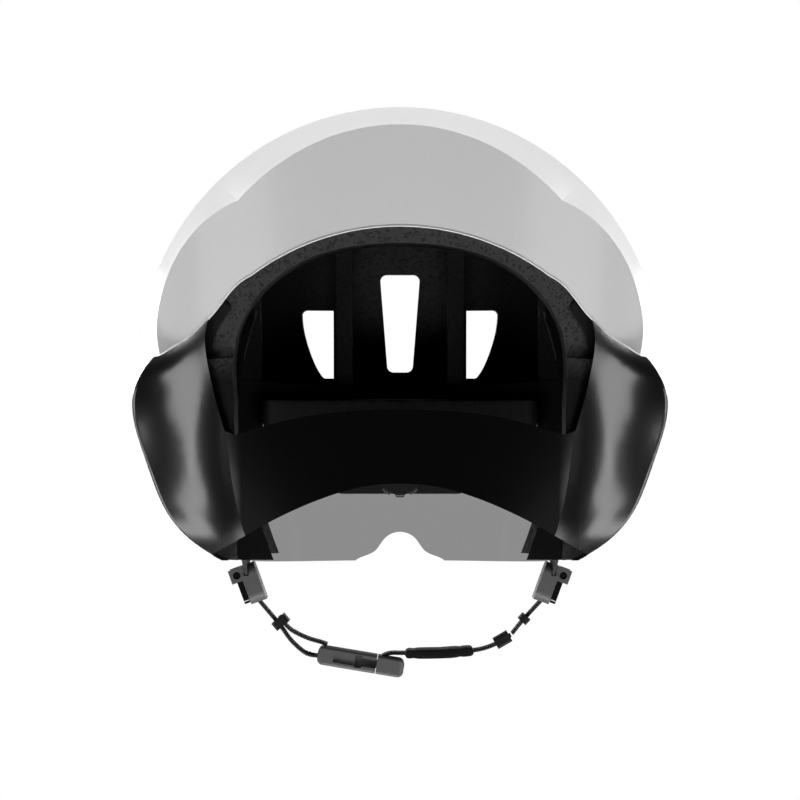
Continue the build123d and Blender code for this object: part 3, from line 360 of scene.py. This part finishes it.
# %% Webbing weave
def build_weave():
    group, start, end = new_group("webbing weave", {"Rib": 1.1, "Thread": 0.55},
                                  ["Height", "Tone"])
    run = group.nodes.new("ShaderNodeAttribute")
    run.attribute_name = "strap_run"
    apart = group.nodes.new("ShaderNodeSeparateXYZ")
    group.links.new(run.outputs["Vector"], apart.inputs[0])
    turn = 2 * math.pi / mm
    along = maths(group, "MULTIPLY", apart.outputs[0], turn)
    across = maths(group, "MULTIPLY", apart.outputs[1], turn)
    rib = maths(group, "SINE", maths(group, "DIVIDE", along, start.outputs["Rib"]))
    straight = maths(group, "DIVIDE", across, start.outputs["Thread"])
    thread = maths(group, "SINE", maths(group, "MULTIPLY_ADD", rib, 0.7, straight))
    both = maths(group, "MULTIPLY_ADD", thread, 0.35, maths(group, "MULTIPLY", rib, 0.65))
    group.links.new(both, end.inputs["Height"])
    group.links.new(maths(group, "MULTIPLY_ADD", both, 0.5, 0.5), end.inputs["Tone"])
    return group


weave = build_weave()
print("group:", weave.name)

# %% [markdown]
# ## Finishes
# One helper builds the usual tree: a Principled shader whose colour runs between two tones, whose
# roughness runs between two values, and whose normal comes from a bump. Constants are set on the
# shader itself, so that they survive an export.

# %% The usual finish
def grey(value):
    return (value, value, value)


def map_range(tree, value, settings):
    """Map Range node reading a socket, with {input: value}, and its output"""
    node = tree.nodes.new("ShaderNodeMapRange")
    for name, number in settings.items():
        node.inputs[name].default_value = number
    tree.links.new(value, node.inputs["Value"])
    return node.outputs["Result"]


def finish_of(title, group, settings, tones, rough, bump, extra=None):
    """Material from a group, {input: value}, two greys, two roughness values and (strength,
    distance) of its bump"""
    material = bpy.data.materials.new(title)
    material.use_nodes = True
    tree = material.node_tree
    shader = tree.nodes["Principled BSDF"]
    pattern = tree.nodes.new("ShaderNodeGroup")
    pattern.node_tree = group
    for name, value in settings.items():
        pattern.inputs[name].default_value = value
    tone = pattern.outputs[1]
    ramp = tree.nodes.new("ShaderNodeValToRGB")
    ramp.color_ramp.elements[0].position = 0.25
    ramp.color_ramp.elements[1].position = 0.75
    for element, shade in zip(ramp.color_ramp.elements, tones):
        element.color = (*grey(shade), 1.0)
    tree.links.new(tone, ramp.inputs["Fac"])
    tree.links.new(ramp.outputs["Color"], shader.inputs["Base Color"])
    spread = map_range(tree, tone, {"To Min": rough[0], "To Max": rough[1]})
    tree.links.new(spread, shader.inputs["Roughness"])
    relief = tree.nodes.new("ShaderNodeBump")
    relief.inputs["Strength"].default_value, relief.inputs["Distance"].default_value = bump
    tree.links.new(pattern.outputs[0], relief.inputs["Height"])
    tree.links.new(relief.outputs["Normal"], shader.inputs["Normal"])
    for name, value in (extra or {}).items():
        shader.inputs[name].default_value = value
    return material


def parts_of(material):
    """Node tree, shader, and sockets for x, y and z on the piece"""
    tree = material.node_tree
    apart = tree.nodes.new("ShaderNodeSeparateXYZ")
    tree.links.new(place_of(tree), apart.inputs[0])
    return tree, tree.nodes["Principled BSDF"], apart.outputs


print("finish helpers ready")

# %% [markdown]
# The white shell is painted and lacquered: a clear coat over a slightly rougher white, with the
# faint ripple that lacquer leaves. The black lower shell is glossy on its wings and matt on the
# nape band between them, so its clear coat fades in sideways.

# %% Shell finishes
lacquer = {"Scale": 1400.0, "Ripple": 220.0}
white_shell = finish_of("white lacquered shell", grain, lacquer, (0.84, 0.88), (0.28, 0.36),
                        (0.05, 0.0001), {"Coat Weight": 0.3, "Coat Roughness": 0.12})
# Painted highlight: the bead round the mouth is a lighter white than the shell, for the light its
# edge catches.
shell_edge_highlight = finish_of("shell edge with painted highlight", grain, lacquer, (0.93, 0.95), (0.2, 0.26),
                       (0.02, 0.0001), {"Coat Weight": 0.3})
black_shell = finish_of("black satin shell", grain, {"Scale": 1600.0, "Ripple": 160.0},
                        (0.002, 0.004), (0.34, 0.42), (0.05, 0.0001),
                        {"Specular IOR Level": 0.1, "Coat IOR": 2.2, "Coat Roughness": 0.22})
coat_starts, coat_full = 0.066, 0.08
tree, shader, place = parts_of(black_shell)
outwards = map_range(tree, maths(tree, "ABSOLUTE", place["X"]),
                     {"From Min": coat_starts, "From Max": coat_full})
tree.links.new(outwards, shader.inputs["Coat Weight"])
print("shell finishes ready")

# %% [markdown]
# The small fittings are moulded: nearly black in the cradle and the keepers, dark grey in the
# buckle and dividers, and polished in the levers. The lips beside the mouth are matt black.

# %% Plastic finishes
moulded = {"Scale": 1800.0, "Ripple": 400.0}
black_plastic = finish_of("black moulded plastic", grain, moulded, (0.012, 0.024), (0.38, 0.52),
                          (0.12, 0.0001), {"Specular IOR Level": 0.45})
grey_plastic = finish_of("dark grey moulded plastic", grain, moulded, (0.14, 0.18), (0.38, 0.52),
                         (0.12, 0.0001), {"Specular IOR Level": 0.5})
matt_black = finish_of("matt black lip", grain, moulded, (0.003, 0.006), (0.7, 0.8),
                       (0.1, 0.0001), {"Specular IOR Level": 0.2})
gloss_plastic = finish_of("black glossy lever", grain, {"Scale": 900.0, "Ripple": 120.0},
                          (0.008, 0.014), (0.1, 0.18), (0.05, 0.0001),
                          {"Coat Weight": 0.6, "Coat Roughness": 0.04})
print("plastic finishes ready")

# %% [markdown]
# The foam is dark grey with darker specks where it is cut, round the open mouth at the back. Deeper
# inside, its moulded skin is painted nearly black, partly its own darker colour and partly painted
# shade inside the helmet; low down the foam is painted nearly black too, as painted shade. The tail
# face is an arc of 125 mm radius that leans forward, so a point's distance in front of it is a
# short sum. That and the height are the masks.

# %% Foam finish
tail_radius = 0.125
tail_lean = 0.238
tail_start = 0.0065
# How far in from the tail face the foam turns nearly black: its darker skin and painted shade.
cut_ends, cut_full = 0.02, 0.008
# Heights of the painted shade low down: nearly black below the first, none above the second.
shade_below, unshaded_above = 0.02, 0.032


def tail_depth(tree, x, y, z):
    """Node output: how far a point lies in front of the tail face"""
    square = maths(tree, "SUBTRACT", tail_radius ** 2, maths(tree, "MULTIPLY", x, x))
    lean = maths(tree, "MULTIPLY_ADD", z, tail_lean, -tail_start)
    return maths(tree, "ADD", maths(tree, "ADD", y, maths(tree, "SQRT", square)), lean)


def foam_finish(title, skin_and_shade_tone):
    material = finish_of(title, beads, {"Scale": 950.0}, (0.048, 0.024), (0.6, 0.85),
                         (0.3, 0.0004), {"Specular IOR Level": 0.2})
    tree, shader, place = parts_of(material)
    ramp = shader.inputs["Base Color"].links[0].from_socket
    cut = map_range(tree, tail_depth(tree, *place), {"From Min": cut_ends, "From Max": cut_full})
    high = map_range(tree, place["Z"], {"From Min": shade_below, "From Max": unshaded_above})
    # The mix paints the foam nearly black inside and low down: painted shade, and inside also its
    # darker skin.
    mix = tree.nodes.new("ShaderNodeMix")
    mix.data_type = "RGBA"
    tree.links.new(maths(tree, "MULTIPLY", cut, high), mix.inputs["Factor"])
    mix.inputs["A"].default_value = (*grey(skin_and_shade_tone), 1)
    tree.links.new(ramp, mix.inputs["B"])
    tree.links.new(mix.outputs["Result"], shader.inputs["Base Color"])
    return material


# 0.0025 is the near-black of the skin inside and of the painted shade.
foam = foam_finish("speckled foam", 0.0025)
print("foam finish ready")

# %% [markdown]
# The visor is a smoke-tinted lens that lets about a quarter of the light through. Real refraction
# through two close walls costs much and shows nothing here, so the lens is dark with an alpha, and
# keeps its gloss. Its two walls each take half of the tint.

# %% Visor finish
lens = finish_of("smoke lens", grain, {"Scale": 500.0, "Ripple": 40.0}, (0.05, 0.055),
                 (0.03, 0.05), (0.01, 0.0001), {"Alpha": 0.5, "IOR": 1.5})
metal = finish_of("bright magnet", grain, {"Scale": 2500.0, "Ripple": 700.0}, (0.5, 0.62),
                  (0.2, 0.34), (0.08, 0.0001), {"Metallic": 1.0})
print("visor and magnet finishes ready")

# %% [markdown]
# Cloth finishes: the pads have a dull knit with a soft sheen at grazing angles, and the webbing is
# a harder, slightly shiny weave.

# %% Cloth finishes
pad_cloth = finish_of("knit pad cover", knit, {"Pitch": 5200.0}, (0.003, 0.009), (0.8, 0.95),
                      (0.5, 0.0003),
                      {"Sheen Weight": 0.12, "Sheen Roughness": 0.45, "Specular IOR Level": 0.3})
web_cloth = finish_of("woven webbing", weave, {"Rib": 1.1, "Thread": 0.9}, (0.008, 0.035),
                      (0.5, 0.75), (0.6, 0.0003), {"Sheen Weight": 0.2})
thread_finish = finish_of("sewing thread", grain, {"Scale": 3000.0, "Ripple": 900.0},
                          (0.02, 0.05), (0.5, 0.7), (0.2, 0.0001))
print("cloth finishes ready")

# %% [markdown]
# ## Rigid pieces
# The rigid pieces are already right in shape, so each only has its materials swapped.

# %% Dress the rigid pieces
def dress(names, material):
    for name in names:
        slots = nodes[name].data.materials
        slots.clear()
        slots.append(material)


dress(["upper_shell"], white_shell)
dress(["lower_shell"], black_shell)
dress(["crown_liner", "lower_liner"], foam)
dress(["visor_lens"], lens)
dress(["visor_magnets", "shell_magnets", "buckle_magnet", "tongue_magnet"], metal)
dress(["cradle_housing", "fit_dial", "dial_pinion", "fit_band_left", "fit_band_right",
       "temple_pins", "strap_anchors", "strap_keeper_left", "strap_keeper_right",
       "strap_keeper_tail"], black_plastic)
dress(["strap_divider_left", "strap_divider_right", "buckle_body", "buckle_tongue"],
      grey_plastic)
dress(["cam_lever_left", "cam_lever_right"], gloss_plastic)
print("rigid pieces dressed")

# %% [markdown]
# ## Webbing
# A strap is a flat band that follows a line. The mesh is swept by hand: the line is sampled on a
# smooth curve, and at each sample stands the same small section, flat in the middle with slightly
# thicker woven edges. A curve object with a bevel could do it too, but it could not store how far
# along and across each point lies, which the weave needs.

# %% Line and section of a strap
def smooth_line(points, step=0.8 * mm):
    """Points about a step apart on a Catmull-Rom curve through the given ones"""
    points = [Vector(p) * mm for p in points]
    ends = [points[0] * 2 - points[1], *points, points[-1] * 2 - points[-2]]
    found = []
    for a, b, c, d in zip(ends, ends[1:], ends[2:], ends[3:]):
        count = max(2, int((c - b).length / step))
        for i in range(count):
            t = i / count
            found.append((b * 2 + (c - a) * t + (a * 2 - b * 5 + c * 4 - d) * t ** 2
                          + (b * 3 - a - c * 3 + d) * t ** 3) * 0.5)
    return found + [points[-1]]


def strap_section(width, thick):
    """Points round a strap's section, with a fuller woven edge"""
    half, t = width / 2, thick / 2
    edge = thick * 0.9
    rise = [(0, 0), (0.25, 0.8), (1, 1), (1.8, 0.82)]
    left = [(-half + edge * far, t * high) for far, high in rise]
    right = [(half - edge * far, t * high) for far, high in rise[::-1]]
    top = left + [(0, t * 0.8)] + right
    return top + [(x, -y) for x, y in top[-2:0:-1]]


print("a strap's section has", len(strap_section(1, 0.1)), "points")

# %% [markdown]
# The strap's flat side needs a direction at each sample: across the strap, square to the line. The
# given across direction is kept, and only made square to the line at each place.

# %% Sweep a strap
def strap(name, points, across, width, thick):
    """Flat webbing mesh along points in millimetres"""
    path = smooth_line(points)
    section = strap_section(width * mm, thick * mm)
    verts, runs, faces, far = [], [], [], 0.0
    for i, at in enumerate(path):
        ahead = (path[min(i + 1, len(path) - 1)] - path[max(i - 1, 0)]).normalized()
        wide = Vector(across)
        wide = (wide - ahead * wide.dot(ahead)).normalized()
        up = ahead.cross(wide)
        far += (at - path[i - 1]).length if i else 0.0
        for x, y in section:
            verts.append(at + wide * x + up * y)
            runs.append((far, x, y))
    ring = len(section)
    for i in range(len(path) - 1):
        for j in range(ring):
            k = (j + 1) % ring
            faces.append((i * ring + j, i * ring + k, (i + 1) * ring + k, (i + 1) * ring + j))
    faces.append(tuple(range(ring))[::-1])
    faces.append(tuple(range((len(path) - 1) * ring, len(path) * ring)))
    mesh = bpy.data.meshes.new(name)
    mesh.from_pydata(verts, [], faces)
    mesh.shade_smooth()
    where = mesh.attributes.new("strap_run", "FLOAT_VECTOR", "POINT")
    where.data.foreach_set("vector", [value for run in runs for value in run])
    mesh.materials.append(web_cloth)
    face_outwards(mesh)
    return new_piece(name, mesh), far


print("straps are woven with", web_cloth.name)

# %% [markdown]
# The chin strap hangs in one plane across the helmet, 15 mm wide towards the face, so it shows its
# thin edge from behind. Its line is the one that the solid follows. On the left it runs from the
# divider to the buckle, with the loose end doubled back beneath the keeper.

# %% Chin straps
web_width, web_thick = 15.0, 1.4
left_line = [(-62.6, -74.3), (-60.36, -76.93), (-52.28, -86.55), (-47.47, -93.09), (-41.64, -98.31),
             (-37.34, -99.74), (-33.76, -99.44)]
right_line = [(62.6, -74.4), (60.36, -76.93), (52.99, -85.01), (48.8, -90.23)]
low_line = [(48.29, -90.84), (41.02, -95.04), (32.53, -97.49), (16.98, -98.72), (1.74, -98.72),
            (-3.99, -98.72), (-7.47, -99.84), (-9.0, -101.58)]
tail_line = [(-52.58, -82.66), (-50.43, -85.52), (-47.06, -88.8), (-40.51, -92.07),
             (-34.48, -93.91), (-31.61, -94.93)]


def in_plane(line):
    return [(x, 0, z) for x, z in line]


for name, line, body, node in (("webbing_left", left_line, "helmet", "chin_strap_left"),
                               ("webbing_right", right_line, None, "chin_strap_right"),
                               ("webbing_low", low_line, "tongue", "chin_strap_low"),
                               ("webbing_tail", tail_line, "helmet", "strap_tail")):
    piece, run = strap(name, in_plane(line), (0, 1, 0), web_width, web_thick)
    if body:
        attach(piece, body)
    else:
        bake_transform(piece)
    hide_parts(node)
    print(name, round(run / mm, 1), "mm of webbing")

# %% [markdown]
# The four upper straps leave the foam inside the wings and meet in the dividers below the ears.

# %% Upper straps
upper_width = 12.0
upper_slope = 0.57
upper_top, upper_foot = (69.0, 34.0, -46.0), (66.05, 5.6, -62.36)
for side, word in both_sides:
    for way, place in ((1, "front"), (-1, "rear")):
        line = [(side * x, way * y, z) for x, y, z in (upper_top, upper_foot)]
        piece, run = strap("webbing_" + place + "_" + word, line, (0, way * upper_slope, -1),
                           upper_width, web_thick)
        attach(piece, "helmet")
        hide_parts("strap_" + place + "_" + word)
    print("upper straps,", word, round(run / mm, 1), "mm each outside the foam")

# %% [markdown]
# ## Stitching
# Webbing is sewn with bar tacks, short rows of thick thread. Each stitch is a tiny slanted bead.
# They are joined into one mesh for each tack, because hundreds of loose pieces would be slow.

# %% Bar tacks
tack_width, row_gap, stitch_lean = 11.5, 1.5, 24
stitch_size = (0.26, 0.75, 0.2)
stitches_in_row = 9
sunk = 0.08
across_strap = Vector((0, 1, 0))


def tack(name, middle, ahead, rows, body):
    """Rows of stitches on both faces of a strap, about a point in millimetres"""
    ahead = Vector(ahead).normalized()
    up = ahead.cross(across_strap)
    turn = Matrix((across_strap, ahead, up)).transposed().to_4x4()
    size = Matrix.Diagonal((*(Vector(stitch_size) * mm), 1))
    made = bmesh.new()
    for face in (1, -1):
        for row in range(rows):
            for i in range(stitches_in_row):
                sideways = across_strap * (tack_width * ((i + 0.5) / stitches_in_row - 0.5))
                along = ahead * ((row - (rows - 1) / 2) * row_gap)
                at = Vector(middle) + sideways + along + up * (face * (web_thick / 2 - sunk))
                angle = math.radians(stitch_lean if (row + i) % 2 else -stitch_lean)
                spot = Matrix.Translation(at * mm) @ turn @ Matrix.Rotation(angle, 4, "Z") @ size
                bmesh.ops.create_icosphere(made, subdivisions=1, radius=1.0, matrix=spot)
    mesh = bpy.data.meshes.new(name)
    made.to_mesh(mesh)
    made.free()
    mesh.shade_smooth()
    mesh.materials.append(thread_finish)
    piece = new_piece(name, mesh)
    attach(piece, body)


tack("stitches_left", (-39.4, 0, -99.15), (4.3, 0, -1.4), 3, "helmet")
tack("stitches_tail", (-50.6, 0, -85.2), (2.1, 0, -2.9), 2, "helmet")
tack("stitches_low", (43.6, 0, -93.6), (7.2, 0, 4.2), 2, "tongue")
print("bar tacks sewn, with rows of", stitches_in_row)

# %% [markdown]
# ## Pads
# A pad is foam in a knit cover, crowned in the middle and drawn in at its edge. Its solid is flat
# sided, so it is shrunk a little, remeshed into even cells, and blown up as cloth under a light
# pressure with gravity off. How far any point may move is capped, so that it stays in its place.

# %% Even cells for a pad
pad_shrink, pad_cap, pad_pressure = 0.45, 0.9, 2.5


def even_cells(piece, cell):
    """Remesh a piece into cells of a size in millimetres, then round it off a little"""
    make_active(piece)
    remesh = piece.modifiers.new("even cells", "REMESH")
    remesh.mode = "VOXEL"
    remesh.voxel_size = cell * mm
    remesh.use_smooth_shade = True
    bpy.ops.object.modifier_apply(modifier=remesh.name)
    relax = piece.modifiers.new("relax", "SMOOTH")
    relax.factor = 0.5
    relax.iterations = 3
    bpy.ops.object.modifier_apply(modifier=relax.name)


def welded_copy(node, name):
    """Mesh of a node under a new name, its double points merged and its materials gone"""
    mesh = nodes[node].data.copy()
    mesh.name = name
    mesh.materials.clear()
    weld = bmesh.new()
    weld.from_mesh(mesh)
    bmesh.ops.remove_doubles(weld, verts=weld.verts, dist=0.02 * mm)
    weld.to_mesh(mesh)
    weld.free()
    return mesh


print("pads start", pad_shrink, "mm smaller than their solids")

# %% [markdown]
# The simulation itself: Blender's cloth, run frame by frame, then read back and capped.

# %% Cloth run
last_frame = 14


def cloth_on(piece):
    cloth = piece.modifiers.new("swell", "CLOTH")
    cloth.settings.quality = 5
    cloth.settings.mass = 0.2
    cloth.settings.tension_stiffness = 12
    cloth.settings.compression_stiffness = 12
    cloth.settings.bending_stiffness = 0.6
    cloth.settings.use_pressure = True
    cloth.settings.uniform_pressure_force = pad_pressure
    cloth.settings.effector_weights.gravity = 0.0
    cloth.collision_settings.use_self_collision = False
    cloth.point_cache.frame_start, cloth.point_cache.frame_end = 1, last_frame
    return cloth


def swell(piece):
    """Blow a pad up as cloth, with each point's move capped"""
    cloth = cloth_on(piece)
    rest = [v.co.copy() for v in piece.data.vertices]
    scene = bpy.context.scene
    for count in range(1, last_frame + 1):
        scene.frame_set(count)
    seen = piece.evaluated_get(bpy.context.evaluated_depsgraph_get())
    after = [v.co.copy() for v in seen.data.vertices]
    piece.modifiers.remove(cloth)
    scene.frame_set(1)
    cap, moved = pad_cap * mm, 0.0
    for vertex, start, end in zip(piece.data.vertices, rest, after):
        step = end - start
        if step.length > cap:
            step = step.normalized() * cap
        vertex.co = start + step
        moved = max(moved, step.length)
    print("cloth moved", piece.name, "by up to", round(moved / mm, 2), "mm")


def pad_from(node, name, cell):
    piece = new_piece(name, welded_copy(node, name))
    even_cells(piece, cell)
    points = piece.data.vertices
    normals = [v.normal.copy() for v in points]
    for vertex, normal in zip(points, normals):
        vertex.co -= normal * pad_shrink * mm
    swell(piece)
    return piece


print("cloth runs for", last_frame, "frames")

# %% [markdown]
# Each pad gets its sewn channels, which are shallow grooves pressed in along lines, as remeshing
# would have lost them, and then one subdivision for a smooth outline. The brow pad also hangs a
# little lower than its solid, which closes a slit that would show daylight under it.

# %% Helpers for the pads
groove_wide, groove_deep = 0.9, 0.35
brow_hangs = 4.6


def press_groove(piece, axis, places):
    """Groove across a pad, at places along an axis in millimetres"""
    normals = [v.normal.copy() for v in piece.data.vertices]
    for vertex, normal in zip(piece.data.vertices, normals):
        off = min(abs(vertex.co[axis] / mm - place) for place in places)
        vertex.co -= normal * groove_deep * mm * math.exp(-(off / groove_wide) ** 2)


def hang_lower(piece, by):
    """Stretch the lower half of a pad downwards"""
    heights = [v.co.z for v in piece.data.vertices]
    middle, low = (max(heights) + min(heights)) / 2, min(heights)
    for vertex in piece.data.vertices:
        vertex.co.z -= by * mm * max(0.0, (middle - vertex.co.z) / (middle - low))


def finish_pad(piece, node, body):
    smooth = piece.modifiers.new("smooth", "SUBSURF")
    smooth.levels = smooth.render_levels = 1
    make_active(piece)
    bpy.ops.object.modifier_apply(modifier=smooth.name)
    piece.data.shade_smooth()
    piece.data.materials.append(pad_cloth)
    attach(piece, body)
    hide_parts(node)


print("grooves are", groove_deep, "mm deep")

# %% [markdown]
# Each row gives the solid, the new name, the body, the cell size in millimetres, and the axis and
# places of the grooves.

# %% Make the pads
pad_rows = [
    ("forehead_pad", "brow_pad", "helmet", 1.3, 0, (-24.0, 24.0)),
    ("side_pad_left", "temple_pad_left", "helmet", 1.2, 1, (0.0,)),
    ("side_pad_right", "temple_pad_right", "helmet", 1.2, 1, (0.0,)),
    ("rib_pad_left", "crown_pad_left", "helmet", 1.2, 1, (0.0,)),
    ("rib_pad_right", "crown_pad_right", "helmet", 1.2, 1, (0.0,)),
    ("nape_pads", "nape_pad_pair", "cradle", 0.9, 2, (-18.7,)),
    ("chin_pad", "chin_strap_pad", "tongue", 0.9, 0, (6.0, 26.0)),
]
for node, name, body, cell, axis, places in pad_rows:
    piece = pad_from(node, name, cell)
    press_groove(piece, axis, places)
    if node == "forehead_pad":
        hang_lower(piece, brow_hangs)
    finish_pad(piece, node, body)
    print(name, "has", len(piece.data.vertices), "points")

# %% [markdown]
# ## Mouth edge
# The white shell ends in a thin edge round the mouth at the back. It is found on the mesh as the
# sharp edges that lie on the tail face and bound a face turned to the middle of the mouth, and a
# thin round bead is laid along them, painted a lighter white than the shell as a painted highlight.

# %% Lay a bead along mesh edges
def bead_along(node, name, picks, radius, material):
    """Tube of a radius in millimetres along the edges of a node that picks(edge, faces) accepts"""
    source = bmesh.new()
    source.from_mesh(nodes[node].data)
    bmesh.ops.remove_doubles(source, verts=source.verts, dist=0.001 * mm)
    source.normal_update()
    found = [e for e in source.edges if len(e.link_faces) == 2 and picks(e, e.link_faces)]
    points = sorted({v.index for e in found for v in e.verts})
    where = {index: place for place, index in enumerate(points)}
    source.verts.ensure_lookup_table()
    mesh = bpy.data.meshes.new(name)
    mesh.from_pydata([source.verts[i].co.copy() for i in points],
                     [[where[v.index] for v in e.verts] for e in found], [])
    source.free()
    piece = new_piece(name, mesh)
    make_active(piece)
    bpy.ops.object.convert(target="CURVE")
    piece.data.bevel_depth, piece.data.bevel_resolution = radius * mm, 1
    bpy.ops.object.convert(target="MESH")
    piece.data.shade_smooth()
    piece.data.materials.clear()
    piece.data.materials.append(material)
    print(name, "runs along", len(found), "edges")
    return piece


print("bead helper ready")

# %% [markdown]
# Each test has its own named limit: the bend at the edge in radians, the distance from the tail
# face, and the height of the mouth's middle.

# %% Bead round the mouth
sharp_enough = 0.5
off_the_face = 0.6 * mm
mouth_middle = 0.02
bead_radius = 0.4


def tail_face_y(x, z):
    """Where the tail face lies, for a point across and up"""
    return tail_start - tail_lean * z - math.sqrt(tail_radius ** 2 - x * x)


def on_mouth_edge(edge, faces):
    if faces[0].normal.angle(faces[1].normal, 0.0) < sharp_enough:
        return False
    for x, y, z in (vertex.co for vertex in edge.verts):
        if abs(y - tail_face_y(x, z)) > off_the_face:
            return False
    x, _, z = (edge.verts[0].co + edge.verts[1].co) / 2
    wall = max(faces, key=lambda face: face.normal.y).normal
    return wall.x * x + wall.z * (z - mouth_middle) < 0


# The bead's lighter white is a painted highlight on the mouth edge.
arch = bead_along("upper_shell", "mouth_edge_bead", on_mouth_edge, bead_radius, shell_edge_highlight)
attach(arch, "helmet")

# %% [markdown]
# A black lip covers the outer edge of the foam low at each side of the mouth and ends in a small
# tab at the top. Its outline was read off the photograph, in millimetres across and up, and it
# follows the curved tail face.

# %% Black lips
lip_outline = [(73.8, 53.2), (76.3, 50.3), (78.8, 46.9), (80.9, 44.4), (81.7, 38.6), (80.9, 30.3),
               (79.2, 19.8), (77.1, 10.7), (74.6, 2.3), (72.5, -2.3), (71.3, -1.4), (73.4, 6.5),
               (75.1, 13.6), (76.7, 20.7), (78.0, 28.2), (78.4, 33.6), (77.6, 37.8), (75.5, 42.4),
               (72.6, 46.5), (70.5, 49.5), (71.3, 51.1)]
lip_depths = (1.5, 2.3)


def lip(name, side):
    """Thin plate with the lip's outline, a little in front of the tail face"""
    points = [(side * across * mm, tail_face_y(across * mm, up * mm) + depth * mm, up * mm)
              for depth in lip_depths for across, up in lip_outline]
    count = len(lip_outline)
    faces = [list(range(count)), list(range(count, 2 * count))[::-1]]
    faces += [[i, i + count, (i + 1) % count + count, (i + 1) % count] for i in range(count)]
    mesh = bpy.data.meshes.new(name)
    mesh.from_pydata(points, [], faces)
    mesh.materials.append(matt_black)
    face_outwards(mesh, triangulate=True)
    piece = new_piece(name, mesh)
    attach(piece, "helmet")


for side, word in both_sides:
    lip("mouth_lip_" + word, side)
print("black lips made")

# %% [markdown]
# ## The size
# The dressed helmet has to stay in the box of the solid one, apart from what fabric may stand
# proud. Both boxes are printed in millimetres.

# %% Sizes and finish
new_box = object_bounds()
for low, high in (cad_box, new_box):
    print("size in mm:", [round((b - a) * 1000, 1) for a, b in zip(low, high)])
